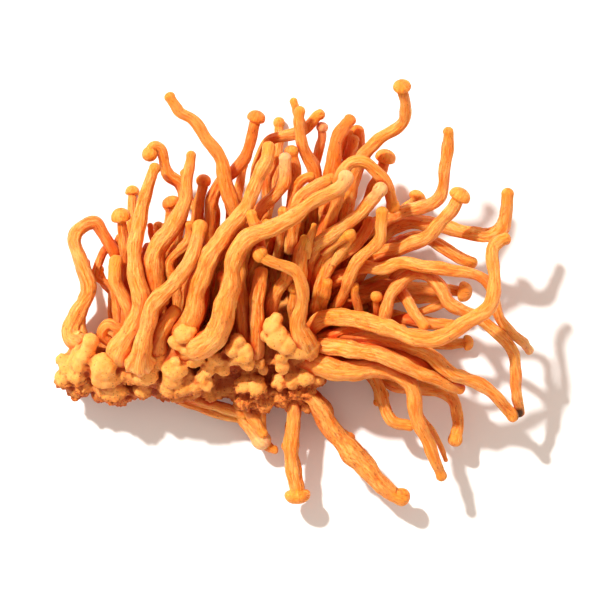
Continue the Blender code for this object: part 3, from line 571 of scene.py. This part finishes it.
def rooted(centres, radii, bulb):
    """The line run on from its foot into the mat, with a bulb there, or a little way if that is far."""
    away = centres[0] - centres[1]
    away = away / np.linalg.norm(away)
    slant = Vector(away + (0, 0, -1)).normalized()
    near, normal, _, distance = mat_tree.ray_cast(Vector(centres[0]) * MM, slant, FOOT_REACH * MM)
    if near is None:
        near, normal, _, distance = mat_tree.find_nearest(Vector(centres[0]) * MM)
    near = np.array(near) / MM
    normal = np.array(normal)
    if distance / MM > FOOT_REACH:
        return np.vstack([centres[0] + away * 1.5, centres]), np.concatenate([[radii[0] * 0.9], radii])
    root = near - normal * FOOT_SINK
    between = 0.5 * (centres[0] + root) + away * 0.5
    line = np.vstack([root, between, centres])
    widths = np.concatenate([[radii[0] * bulb], [radii[0] * bulb * 1.04], radii])
    return line, widths


# The one spot where two crossing tips are scorched black, as drawn, and how far it reaches.
SCORCHED = (((43.9, -23.0, 12.6), 1.9),)


def head_width(s, centre, front, back, radius):
    """The radius of a rounded head at stations s: domed in front, tucked in quickly behind."""
    ahead = np.clip((s - centre) / front, 0, 1)
    behind = np.clip((centre - s) / back, 0, 1)
    dome = (1 - ahead ** 2.1) ** (1 / 2.1)
    tuck = (1 - behind ** 2.6) ** (1 / 2.6)
    return radius * np.minimum(dome, tuck)


def waves(s, shape, phases):
    """The sum of slow waves of the given heights and lengths at stations s."""
    return sum(height * np.sin(s / length + phase) for (height, length), phase in zip(shape, phases))


def draw_out(name, centres, radii, seed, around=AROUND, step=RING_STEP, pale=0.0, ruddy=1.0):
    """A ball drawn out along a line into a ribbed stalk with a head; its material reads its grain."""
    rng = np.random.default_rng(seed)
    stations = running_length(centres)
    total = stations[-1]
    neck_radius = radii[-4]
    head_radius = max(radii[-3], 0.98 * FULLER * neck_radius)
    head_length = (stations[-1] - stations[-3]) / HEAD_RINGS[0][0]
    neck = total - head_length
    front = max(0.62 * head_length, 0.72 * head_radius)
    front = min(front, 1.25 * head_radius)
    end = total + 0.06 * head_length
    centre = end - front
    back = head_radius * np.clip(2.7 - 1.3 * head_radius / neck_radius, 0.40, 1.40)
    back = min(back, 0.75 * head_length)
    turned = np.sin(np.linspace(0, math.pi / 2, 11))
    count = max(10, int((centre - back) / step))
    body = np.linspace(0, centre - back, count)
    rim = centre - back * np.cos(np.linspace(0, math.pi / 2, 7))[1:-1]
    along = np.concatenate([-0.5 * turned[::-2][:-1], body, rim, centre + front * turned])
    held = np.clip(along, 0, total)
    line = through(centres, stations, held)
    base_width = FULLER * through(np.append(radii[:-3], [neck_radius] * 3)[:, None], stations, held)[:, 0]
    shrink = np.clip((held - neck) / head_length, 0, 1)
    base_width = np.maximum(base_width, 0.12) * (1 - 0.25 * shrink)
    tail = np.clip((along - (end - neck_radius)) / neck_radius, 0, 1)
    base_width = base_width * np.sqrt(1 - tail ** 2)
    start = np.clip(-along / 0.5, 0, 1)
    base_width = base_width * np.sqrt(1 - start ** 2)
    tangent = np.gradient(through(centres, stations, np.clip(along, 0.05, total - 0.05)), axis=0)
    weak = np.linalg.norm(tangent, axis=1) < 1e-6
    good = np.nonzero(~weak)[0]
    tangent[weak] = tangent[good[np.abs(good[None, :] - np.nonzero(weak)[0][:, None]).argmin(axis=1)]]
    tangent /= np.linalg.norm(tangent, axis=1)[:, None]
    line = line + tangent * (along - held)[:, None]
    # the width and the line swing slowly along the stalk, and calm down towards the head
    phase = rng.uniform(0, 2 * math.pi, 12)
    calm = np.clip((centre - back - held) / max(head_length, 0.8), 0, 1)
    base_width = base_width * (1 + calm * waves(held, WIDTH_WAVES, phase[:3]))
    cap = head_width(along, centre, front, back, head_radius)
    width = np.maximum(base_width, cap)
    blend = np.minimum(base_width, cap)
    width = width + 0.22 * blend * (blend / np.maximum(width, 1e-6)) ** 3 * (1 - tail) * shrink
    side = np.cross(tangent[0], (0.31, 0.17, 0.94))
    side /= np.linalg.norm(side)
    sides = []
    for direction in tangent:
        side = side - direction * (side @ direction)
        side = side / np.linalg.norm(side)
        sides.append(side)
    sides = np.array(sides)
    ups = np.cross(tangent, sides)
    wobble = waves(held, SIDE_WAVES, phase[3:5])
    sway = waves(held, UP_WAVES, phase[5:7])
    line = line + sides * (wobble * calm)[:, None] + ups * (sway * calm)[:, None]

    rings = len(along) - 1
    bpy.ops.object.select_all(action="DESELECT")
    bpy.ops.mesh.primitive_uv_sphere_add(segments=around, ring_count=rings, radius=1.0, location=(0, 0, 0))
    piece = bpy.context.active_object
    piece.name = name
    piece.data.name = name
    flat = np.zeros(len(piece.data.vertices) * 3, np.float32)
    piece.data.vertices.foreach_get("co", flat)
    ball = flat.reshape(-1, 3).astype(float)
    level = np.rint(np.arccos(np.clip(ball[:, 2], -1, 1)) / math.pi * rings).astype(int)
    level = rings - level
    turn = np.arctan2(ball[:, 1], ball[:, 0])
    s = along[level]
    ribs = sum(
        height * np.cos(folds * turn + start_at + winding * np.sin(s / length + swing))
        for (height, folds, winding, length), start_at, swing
        in zip(RIBS, phase[[7, 9, 11]], phase[[8, 10, 0]])
    )
    mean_width = float(np.mean(radii))
    grain = np.column_stack([mean_width * np.cos(turn), mean_width * np.sin(turn), s])
    grain += rng.uniform(-40, 40, 3)
    lumps = sum(
        height * soft_noise(grain * cells, seed + layer) for layer, (height, cells) in enumerate(SKIN_LUMPS)
    )
    steady = calm[level] * 0.85 + 0.15
    swell = 1 + steady * (ribs * (0.6 + 0.4 * np.sin(s / 3.3 + phase[2])) + lumps)
    ring_width = width[level] * swell
    rows = line[level] + (
        sides[level] * (np.cos(turn) * ring_width)[:, None]
        + ups[level] * (np.sin(turn) * ring_width)[:, None]
    )
    rows[:, 2] = np.maximum(rows[:, 2], 0.0)
    put_coordinates(piece.data, rows)
    layer = piece.data.attributes.new("grain", "FLOAT_VECTOR", "POINT")
    layer.data.foreach_set("vector", grain.astype(np.float32).ravel())
    number_on(piece.data, "head", np.clip((s - centre + back + HEAD_FADE) / HEAD_FADE, 0, 1))
    number_on(piece.data, "foot", np.clip(1 - s / FOOT_FADE, 0, 1))
    number_on(piece.data, "tone", np.full(len(rows), rng.uniform(0, 1)))
    number_on(piece.data, "pale", np.clip((s - total + PALE_FROM) / PALE_FADE, 0, 1) * pale)
    number_on(piece.data, "ruddy", np.clip((s - ruddy * total) / RUDDY_FADE, 0, 1))
    scorched = np.zeros(len(rows))
    for spot, reach in SCORCHED:
        scorched = np.maximum(scorched, 1 - np.linalg.norm(rows - placed([spot])[0], axis=1) / reach)
    number_on(piece.data, "scorched", scorched)
    # How shut in each side of the stalk is, for the painted shade on it.
    picks = np.unique(np.append(np.arange(0, len(along), FELT_EVERY), len(along) - 1))
    felt = np.zeros((len(along), FELT_SIDES))
    for column in range(FELT_SIDES):
        angle = column * 2 * math.pi / FELT_SIDES
        out = sides[picks] * math.cos(angle) + ups[picks] * math.sin(angle)
        felt[:, column] = np.interp(
            np.arange(len(along)), picks, shut_in(line[picks] + out * width[picks, None], out)
        )
    column = (turn % (2 * math.pi)) / (2 * math.pi / FELT_SIDES)
    first = np.floor(column).astype(int)
    share = column - first
    deep = felt[level, first % FELT_SIDES] * (1 - share) + felt[level, (first + 1) % FELT_SIDES] * share
    number_on(piece.data, "deep", deep)
    piece.data.shade_smooth()
    return piece


STRAW = (0.99, 0.49, 0.140)
LIGHT_ORANGE = (0.96, 0.295, 0.034)
ORANGE = (0.82, 0.130, 0.006)
RUST = (0.34, 0.045, 0.004)
HEAD_ORANGE = (0.96, 0.31, 0.030)
PALE_TIP = (0.98, 0.52, 0.22)
SCORCH = (0.03, 0.008, 0.004)


def stalk_finish_like(name, pale, light, deep, speck_share, speck_from):
    """Dried stalk skin: fine streaks along it, a plainer head, a few rusty flecks, and painted shade where it
    is shut in.
    """
    made, nodes, links, shader = shader_of(name, 0.50, 1.4 * MM, 0.48)
    grain = nodes.new("ShaderNodeAttribute")
    grain.attribute_name = "grain"
    grain = grain.outputs["Vector"]
    streak = stretched_noise(nodes, links, grain, (2.5, 2.5, 0.26), 4, 0.66)
    thread = stretched_noise(nodes, links, grain, (4.2, 4.2, 0.55), 3, 0.6)
    patch = stretched_noise(nodes, links, grain, (0.5, 0.5, 0.16), 2, 0.5)
    crease = stretched_noise(nodes, links, grain, (1.9, 1.9, 0.30), 3, 0.6)
    off_middle = sum_of(nodes, links, "ABSOLUTE", sum_of(nodes, links, "SUBTRACT", crease, 0.5))
    furrow = span(nodes, links, off_middle, 0.004, 0.034, 1.0, 0.0)
    pit = stretched_noise(nodes, links, grain, (3.2, 3.2, 1.3), 2, 0.5)
    grit = stretched_noise(nodes, links, grain, (5.0, 5.0, 3.4), 2, 0.6)
    colour = ramp(nodes, links, streak, [(0.35, deep), (0.48, light), (0.62, pale)])
    colour = blend_colours(nodes, links, span(nodes, links, patch, 0.40, 0.62, 0.0, 0.50), colour, pale)
    colour = blend_colours(nodes, links, span(nodes, links, thread, 0.55, 0.68, 0.0, 0.42), colour, deep)
    colour = blend_colours(nodes, links, span(nodes, links, furrow, 0.0, 1.0, 0.0, 0.50), colour, deep)
    tone = number_from(nodes, "tone")
    colour = blend_colours(nodes, links, span(nodes, links, tone, 0.0, 1.0, 0.0, 0.40), colour, light)
    foot = number_from(nodes, "foot")
    colour = blend_colours(nodes, links, span(nodes, links, foot, 0.2, 1.0, 0.0, 0.50), colour, pale)
    head = number_from(nodes, "head")
    colour = blend_colours(nodes, links, span(nodes, links, head, 0.1, 0.9, 0.0, 0.65), colour, HEAD_ORANGE)
    ruddy = span(nodes, links, number_from(nodes, "ruddy"), 0.0, 1.0, 0.0, 0.45)
    colour = blend_colours(nodes, links, ruddy, colour, deep)
    colour = blend_colours(nodes, links, number_from(nodes, "pale"), colour, PALE_TIP)
    fleck = span(nodes, links, pit, speck_from, speck_from + 0.06, 0.0, speck_share)
    colour = blend_colours(nodes, links, fleck, colour, RUST)
    # Painted shade, deep red, where the stalk is shut in by what stands around and over it.
    stalk_shut_in_shade = span(nodes, links, number_from(nodes, "deep"), 0.12, 0.60, 0.0, 0.94)
    colour = blend_colours(nodes, links, stalk_shut_in_shade, colour, SHADE_RED)
    scorched = number_from(nodes, "scorched")
    colour = blend_colours(nodes, links, span(nodes, links, scorched, 0.1, 0.5, 0.0, 0.95), colour, SCORCH)
    links.new(colour, shader.inputs["Base Color"])
    both = sum_of(nodes, links, "MULTIPLY_ADD", streak, 1.8, thread)
    cut = sum_of(nodes, links, "MULTIPLY_ADD", furrow, -0.45, both)
    ribbed = bump(nodes, links, cut, 0.26 * MM, 1.0, shader)
    bump(nodes, links, grit, 0.05 * MM, 0.8, shader, ribbed)
    return made


PALE_HEADS = {
    "stalk_front_long": 0.75, "stalk_right_pale_knob": 0.75, "stalk_top_pale_knob": 0.9,
    "stalk_middle_pale_tip": 0.9, "stalk_low_pale_knob": 1.0, "stalk_right_wavy": 0.8,
}
FULLNESS = {"stalk_middle_bent": 0.80, "stalk_front_long": 0.88, "stalk_top_left_club": 0.88}
# Stalks whose skin turns redder, from this share of their length on.
RUDDY_FROM = {
    "stalk_left_hook": 0.66, "stalk_top_thick": 0.45, "stalk_top_twin": 0.45, "stalk_top_left_cap": 0.62,
}
SPECKLED = ("stalk_low_thick",)
stalk_finish = stalk_finish_like("stalk_finish", STRAW, LIGHT_ORANGE, ORANGE, 0.55, 0.64)
speckled_finish = stalk_finish_like("speckled_finish", STRAW, LIGHT_ORANGE, ORANGE, 0.42, 0.55)
stalk_lines = {}
for number, node in enumerate(sorted(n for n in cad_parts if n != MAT_NODE)):
    centres, radii = tube_rings(node)
    stalk_lines[node] = (centres, radii)
    line, widths = rooted(centres, radii, FOOT_BULBS.get(node, 1.12))
    widths[:-3] *= FULLNESS.get(node, 1.0)
    stalk = draw_out(
        node.replace("stalk_", "fruit_"), line, widths, 100 + number,
        pale=PALE_HEADS.get(node, 0.0), ruddy=RUDDY_FROM.get(node, 1.0),
    )
    stalk.data.materials.append(speckled_finish if node in SPECKLED else stalk_finish)
    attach(stalk, "root")
    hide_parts(node)

# Points along every stalk with its radius there, to keep clear of or to grow out of.
thick_lines = []
for centres, radii in stalk_lines.values():
    along = running_length(centres)
    at = np.linspace(0, along[-1], max(4, int(along[-1] / 0.8)))
    rows = np.column_stack([np.interp(at, along, centres[:, k]) for k in range(3)])
    thick_lines.append(np.column_stack([rows, np.interp(at, along, radii)]))
crowd = np.vstack(thick_lines)

# ---------------------------------------------------------------------------------------------
# The small shoots: thin or stunted stalks between the big ones, some curled over. Those near the
# mat are rooted in it, and those higher up grow out of the side of a bigger stalk. Their routes are
# drawn the same way as the lumps of the mat.
# ---------------------------------------------------------------------------------------------
SHOOTS = (
    ("shoot_left_curl", (1.0, 1.0, 1.0), (1.15, 1.5),
     [(-37.6, -9.0, 13.5), (-38.8, -8.0, 14.5), (-39.6, -6.6, 15.5), (-39.0, -5.4, 16.2),
      (-37.4, -5.0, 16.5), (-36.0, -5.6, 16.5), (-35.0, -7.4, 15.8)]),
    ("shoot_left_upper", (0.9, 0.85, 0.8), (0.9, 1.3),
     [(-28.6, -4.0, 9.0), (-28.4, 4.0, 11.0), (-28.0, 9.6, 12.5), (-27.2, 12.8, 13.0), (-26.8, 15.4, 13.5)]),
    ("shoot_left_dark_cap", (0.8, 0.8, 0.8), (1.05, 1.6),
     [(-29.6, -3.0, 8.0), (-29.2, 6.0, 10.0), (-28.8, 11.0, 11.5), (-28.2, 15.6, 12.5)]),
    ("shoot_left_sliver", (0.6, 0.6, 0.5), (0.55, 0.8),
     [(-28.8, 9.6, 13.4), (-29.5, 12.8, 14.6), (-30.1, 15.4, 15.0)]),
    ("shoot_knob_behind", (0.9, 0.85, 0.8), (0.95, 1.3),
     [(-22.0, 20.0, 13.0), (-22.6, 23.4, 15.0), (-23.2, 26.0, 17.0)]),
    ("shoot_low_loop", (0.95, 0.9, 0.85), (0.9, 1.2),
     [(-2.5, 11.0, 16.0), (-2.0, 16.4, 19.0), (-1.2, 20.4, 21.0), (-0.4, 23.0, 22.0),
      (1.0, 24.6, 22.6), (3.0, 24.6, 22.6)]),
    ("shoot_orange_knob", (1.15, 1.1, 1.05), (1.25, 1.8),
     [(3.5, 5.0, 18.0), (5.0, 8.6, 20.0), (6.4, 11.2, 22.0), (8.2, 12.8, 23.6), (10.0, 13.6, 24.4)]),
    ("shoot_bell", (0.8, 0.85, 1.0), (1.35, 2.2),
     [(5.6, 10.2, 22.6), (7.4, 11.6, 24.0), (9.2, 12.8, 25.2), (11.0, 13.4, 26.0)]),
    ("strut_inner", (1.0, 0.95, 0.95), (0.9, 0.9),
     [(4.0, -2.4, 14.0), (4.6, -0.2, 17.0), (5.2, 2.0, 19.2), (5.6, 4.2, 20.6)]),
    ("strut_outer", (0.95, 0.85, 0.85), (0.8, 0.9),
     [(12.4, -6.6, 12.0), (11.9, -3.4, 15.4), (11.3, 0.2, 18.6), (10.8, 3.4, 20.4)]),
    ("shoot_middle_ball", (0.8, 0.85, 0.85), (1.0, 1.8),
     [(-4.6, 8.0, 17.0), (-4.0, 12.4, 21.0), (-3.6, 15.6, 24.0), (-3.3, 18.6, 25.4)]),
    ("shoot_below_ribbed", (1.35, 1.3, 1.1), (1.0, 1.3),
     [(5.0, -7.6, 13.0), (9.0, -7.9, 15.5), (13.4, -8.6, 17.2), (18.0, -9.6, 18.2), (22.6, -11.4, 18.4),
      (26.0, -13.4, 18.0), (29.0, -15.4, 17.0)]),
    ("shoot_above_ribbed", (1.0, 1.0, 0.9), (0.9, 1.2),
     [(8.4, -6.2, 17.6), (12.0, -5.6, 18.8), (16.4, -5.9, 19.4), (20.4, -6.9, 19.8), (24.4, -9.0, 19.4)]),
    ("shoot_bridge", (1.0, 1.1, 1.05), (1.1, 1.6),
     [(18.4, -4.6, 13.0), (21.4, -4.0, 15.0), (24.6, -4.4, 16.4), (28.0, -4.8, 17.0), (31.4, -5.2, 17.2)]),
    ("shoot_bridge_upper", (0.8, 0.8, 0.7), (0.7, 1.0),
     [(21.0, -3.6, 12.0), (24.4, -2.2, 13.0), (28.0, -1.0, 13.6), (30.4, 0.2, 14.0)]),
    ("shoot_low_parallel", (0.8, 0.6, 0.4), (0.45, 0.8),
     [(22.4, -20.4, 9.6), (24.6, -23.4, 9.6), (26.6, -26.6, 9.4), (28.3, -29.8, 9.0), (29.3, -32.4, 8.8)]),
    ("shoot_top_nub", (0.8, 0.75, 0.7), (0.72, 1.2),
     [(0.4, 35.0, 17.4), (-0.2, 37.0, 17.8), (-0.9, 38.6, 18.0), (-1.5, 40.4, 18.0)]),
    ("shoot_blunt_stub", (1.0, 1.05, 0.95), (0.95, 1.5),
     [(-8.0, 11.8, 26.0), (-8.6, 13.8, 27.2), (-9.4, 15.8, 28.0), (-9.9, 18.0, 28.2)]),
    ("shoot_pale_cut", (0.75, 0.7, 0.65), (0.7, 1.0),
     [(7.4, 8.6, 22.0), (8.8, 10.6, 22.8), (10.0, 12.0, 23.2), (11.0, 13.0, 23.4)]),
    ("shoot_sliver_middle", (0.9, 1.0, 0.8), (0.6, 1.2),
     [(3.0, 8.0, 17.0), (3.4, 10.4, 18.6), (4.4, 13.6, 19.6), (5.2, 17.0, 19.8)]),
    ("shoot_spike_middle", (0.9, 0.7, 0.4), (0.4, 0.8),
     [(1.6, 10.0, 22.6), (2.0, 12.2, 23.6), (2.6, 14.0, 24.0), (2.9, 15.4, 24.0)]),
    ("shoot_torn_one", (0.9, 0.9, 0.8), (0.75, 1.2),
     [(7.4, 28.0, 14.6), (8.4, 30.0, 16.6), (9.4, 32.2, 17.6), (9.9, 34.2, 18.0)]),
    ("shoot_torn_two", (1.1, 1.2, 1.0), (0.9, 1.5),
     [(8.8, 25.4, 15.0), (9.8, 28.2, 17.0), (10.4, 30.6, 18.0), (10.8, 33.0, 18.2)]),
    ("shoot_hook_foot", (1.1, 1.0, 0.8), (0.85, 1.2),
     [(-43.6, -8.6, 11.6), (-43.6, -6.4, 12.0), (-43.9, -4.4, 12.4), (-43.5, -2.2, 12.8)]),
    ("shoot_low_dark_tip", (1.0, 0.9, 0.55), (0.6, 1.1),
     [(-7.2, -28.4, 4.4), (-6.2, -29.4, 4.2), (-5.2, -29.9, 4.1), (-4.4, -29.8, 4.1)]),
    ("shoot_rim", (0.9, 0.8, 0.8), (0.8, 1.0),
     [(-31.0, -17.4, 8.6), (-27.0, -19.2, 7.6), (-22.8, -20.6, 6.8), (-18.8, -22.0, 6.2),
      (-15.0, -23.2, 5.8), (-11.6, -23.9, 5.6)]),
    ("shoot_rim_inner", (1.2, 1.1, 1.0), (1.0, 1.2),
     [(-26.0, -17.6, 8.6), (-21.6, -19.4, 7.8), (-17.6, -20.8, 7.2), (-13.8, -22.0, 6.8),
      (-10.6, -23.2, 6.4)]),
    ("shoot_low_pair", (1.2, 1.1, 0.8), (0.9, 1.4),
     [(-11.4, -20.2, 7.4), (-9.8, -23.0, 7.0), (-8.0, -25.8, 6.6), (-6.9, -27.4, 6.4)]),
    # a fan of plain stalks low down on the right
    ("fan_one", (1.3, 1.2, 1.1), (1.2, 1.8),
     [(4.0, -3.4, 10.0), (11.0, 1.6, 9.4), (18.0, 4.6, 8.4), (26.0, 6.4, 7.4)]),
    ("fan_two", (1.4, 1.3, 1.2), (1.35, 2.0),
     [(4.4, -4.4, 9.0), (12.0, -0.8, 8.2), (20.0, 0.6, 7.4), (28.6, 0.6, 6.6)]),
    ("fan_three", (1.3, 1.2, 1.1), (1.15, 1.8),
     [(4.6, -5.4, 8.0), (12.6, -3.0, 7.0), (20.4, -3.4, 6.4), (28.0, -5.0, 6.0)]),
    ("fan_four", (1.3, 1.2, 1.0), (1.1, 1.8),
     [(5.0, -6.4, 7.0), (13.0, -6.4, 6.0), (21.0, -8.6, 5.4), (28.0, -12.0, 5.0)]),
    ("fan_five", (1.2, 1.2, 1.0), (1.1, 1.6),
     [(3.0, -2.0, 11.0), (8.4, 4.6, 10.4), (14.0, 9.0, 9.6), (21.0, 12.0, 8.6)]),
    ("fan_six", (1.1, 1.1, 1.0), (1.0, 1.6),
     [(4.0, -4.0, 13.0), (12.0, 0.4, 12.6), (20.0, 2.2, 11.4), (30.0, 1.8, 9.6)]),
    ("fan_seven", (1.2, 1.1, 1.0), (1.1, 1.6),
     [(5.0, -7.0, 6.0), (12.0, -9.6, 4.8), (18.6, -13.6, 4.0), (23.4, -19.0, 3.4)]),
    ("shoot_gap_one", (1.1, 1.0, 0.9), (0.9, 1.3),
     [(-16.6, -6.0, 15.0), (-16.4, -1.0, 16.0), (-15.8, 4.0, 16.4), (-15.8, 8.6, 16.4)]),
    ("shoot_gap_two", (1.1, 1.0, 0.9), (0.9, 1.3),
     [(-24.4, -5.6, 14.0), (-24.0, -1.0, 15.0), (-23.0, 3.0, 15.4), (-22.6, 7.0, 15.6)]),
)


def with_head(route, ends, head):
    """Ring centres and radii for a shoot along that route, laid out like those of the stalks."""
    radius, length = head
    along = running_length(route)
    fine = np.linspace(0, along[-1], 60)
    curve = through(route, along, fine)
    along = running_length(curve)
    total = along[-1]
    stations = list(np.linspace(0, total - length, max(4, int(total / 2.2))))
    share = np.array(stations) / total
    foot, middle, tip = ends
    bend = 2 * (foot + tip - 2 * middle)
    widths = list(foot + (tip - foot - bend) * share + bend * share ** 2)
    stations += [total - length * back for back, _ in HEAD_RINGS]
    widths += [radius * share for _, share in HEAD_RINGS]
    centres = np.column_stack([np.interp(stations, along, curve[:, k]) for k in range(3)])
    return centres, np.array(widths)


# These stand clear of the mat and of every stalk, so the foot is carried on into the nearest stalk.
SIDE_SHOOTS = ("shoot_bridge", "shoot_bridge_upper", "shoot_knob_behind", "shoot_low_parallel")
for number, (name, ends, head, route) in enumerate(SHOOTS):
    centres, radii = with_head(placed(route), ends, head)
    line, widths = rooted(centres, radii, 1.15)
    if name in SIDE_SHOOTS:
        off = np.linalg.norm(crowd[:, :3] - line[0], axis=1) - crowd[:, 3]
        line[0] = crowd[off.argmin(), :3]
    shoot = draw_out(name, line, widths, 300 + number, around=20, step=0.42)
    shoot.data.materials.append(stalk_finish)
    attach(shoot, "root")

# ---------------------------------------------------------------------------------------------
# The undergrowth: plain thin stalks deep between the others, as crowded as the clump is. Each
# follows a bigger stalk at a distance and stops well short of its tip.
# ---------------------------------------------------------------------------------------------
UNDERGROWTH = 110
MOST_TRIES = 9000
GROWTH_SEED = 5
# Which stalks it follows, by length in mm; how far up them, as a share; how far to the side and
# how deep below; how much its points are shaken sideways and up or down; and its radius.
SHORTEST_FOLLOWED = 16
GROWS_TO = (0.32, 0.68)
TO_THE_SIDE = (-3.4, 3.4)
DEEP = (2.2, 9.0)
SHAKEN_SIDEWAYS = 0.35
SHAKEN_UP = 0.4
THIN_RADIUS = (0.8, 1.25)
# It keeps this far off the floor, may run this far into others along this share of itself, and at
# least this share of it, and its tip, has something over it.
FLOOR_GAP = 0.3
CROWD_GAP = -0.5
CROWDED_SHARE = 0.15
COVERED = 0.62
grown_rng = np.random.default_rng(GROWTH_SEED)
grown = 0
names = sorted(stalk_lines)
for _ in range(MOST_TRIES):
    if grown >= UNDERGROWTH:
        break
    centres, radii = stalk_lines[names[grown_rng.integers(len(names))]]
    along = running_length(centres)
    if along[-1] < SHORTEST_FOLLOWED:
        continue
    until = along[-1] * grown_rng.uniform(*GROWS_TO)
    at = np.linspace(0, until, max(5, int(until / 3.0)))
    rows = np.column_stack([np.interp(at, along, centres[:, k]) for k in range(3)])
    heading = rows[-1] - rows[0]
    across = np.array([-heading[1], heading[0], 0.0])
    across /= np.linalg.norm(across)
    fan = np.linspace(0.4, 1, len(rows))[:, None]
    rows = rows + across * grown_rng.uniform(*TO_THE_SIDE) * fan
    rows[:, 2] -= grown_rng.uniform(*DEEP)
    rows[:, :2] += grown_rng.normal(0, SHAKEN_SIDEWAYS, (len(rows), 2))
    rows[:, 2] += grown_rng.normal(0, SHAKEN_UP, len(rows))
    radius = grown_rng.uniform(*THIN_RADIUS)
    if rows[:, 2].min() < radius + FLOOR_GAP:
        continue
    length_along = running_length(rows)
    check = through(rows, length_along, np.linspace(0, length_along[-1], 24))
    apart = np.linalg.norm(check[:, None, :] - crowd[None, :, :3], axis=2) - crowd[None, :, 3] - radius
    if np.mean(apart.min(axis=1) < CROWD_GAP) > CROWDED_SHARE:
        continue
    covers = [
        whole_tree.ray_cast(Vector(spot + (0, 0, radius)) * MM, OPEN_SKY[0], 4 * CLEAR_WAY)[3]
        for spot in check
    ]
    if np.mean([cover is not None for cover in covers[6:]]) < COVERED or covers[-1] is None:
        continue
    head = (radius * grown_rng.uniform(0.95, 1.35), radius * 1.6)
    centres, radii = with_head(rows, (radius * 1.15, radius, radius * 0.85), head)
    line, widths = rooted(centres, radii, 1.2)
    shoot = draw_out(f"undergrowth_{grown:02d}", line, widths, 500 + grown, around=16, step=0.6)
    shoot.data.materials.append(stalk_finish)
    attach(shoot, "root")
    crowd = np.vstack([crowd, np.column_stack([check, np.full(len(check), radius)])])
    grown += 1

# ---------------------------------------------------------------------------------------------
# Floor, light and camera: the clump lies on a white sheet in low sun from the upper left, and the
# camera looks straight down on it through a long lens.
# ---------------------------------------------------------------------------------------------
FLOOR_HALF = 1.6
CAMERA_HEIGHT = 0.70
SEEN_WIDTH = 0.120
SENSOR_WIDTH = 36.0
SEEN_LEVEL = 0.015
CAMERA_X = 0.00104
CAMERA_Y = -0.00066
SUN_SLANT = (0.57, -0.70, -1.0)

bpy.ops.object.select_all(action="DESELECT")
bpy.ops.mesh.primitive_plane_add(size=2 * FLOOR_HALF, location=(0, 0, -0.00005))
floor = bpy.context.active_object
floor.name = "floor"
floor_finish, nodes, links, shader = shader_of("floor_finish", 0.85, 0.1 * MM, 0.0)
shader.inputs["Base Color"].default_value = (0.93, 0.925, 0.915, 1.0)
floor.data.materials.append(floor_finish)

sun_data = bpy.data.lights.new("sun", "SUN")
sun_data.energy = 5.0
sun_data.angle = math.radians(3.6)
sun_data.color = (1.0, 0.985, 0.95)
sun = bpy.data.objects.new("sun", sun_data)
sun.rotation_mode = "QUATERNION"
sun.rotation_quaternion = Vector(SUN_SLANT).to_track_quat("-Z", "Y")
bpy.context.scene.collection.objects.link(sun)

world = bpy.data.worlds.new("soft_fill")
world.use_nodes = True
nodes = world.node_tree.nodes
links = world.node_tree.links
# warm light from above, and a white backdrop low around
height = nodes.new("ShaderNodeSeparateXYZ")
links.new(nodes.new("ShaderNodeTexCoord").outputs["Generated"], height.inputs["Vector"])
sky = blend_colours(
    nodes, links, span(nodes, links, height.outputs["Z"], 0.08, 0.20), (1.0, 1.0, 1.0), (0.73, 0.62, 0.54)
)
links.new(sky, nodes["Background"].inputs["Color"])
nodes["Background"].inputs["Strength"].default_value = 1.0
bpy.context.scene.world = world

camera_data = bpy.data.cameras.new("camera")
camera_data.sensor_width = SENSOR_WIDTH
camera_data.lens = SENSOR_WIDTH * (CAMERA_HEIGHT - SEEN_LEVEL) / SEEN_WIDTH
camera_data.clip_start = 0.05
camera_data.clip_end = 20.0
camera = bpy.data.objects.new("camera", camera_data)
camera.location = (CAMERA_X, CAMERA_Y, CAMERA_HEIGHT)
bpy.context.scene.collection.objects.link(camera)
bpy.context.scene.camera = camera
bpy.context.scene.view_settings.view_transform = "Standard"
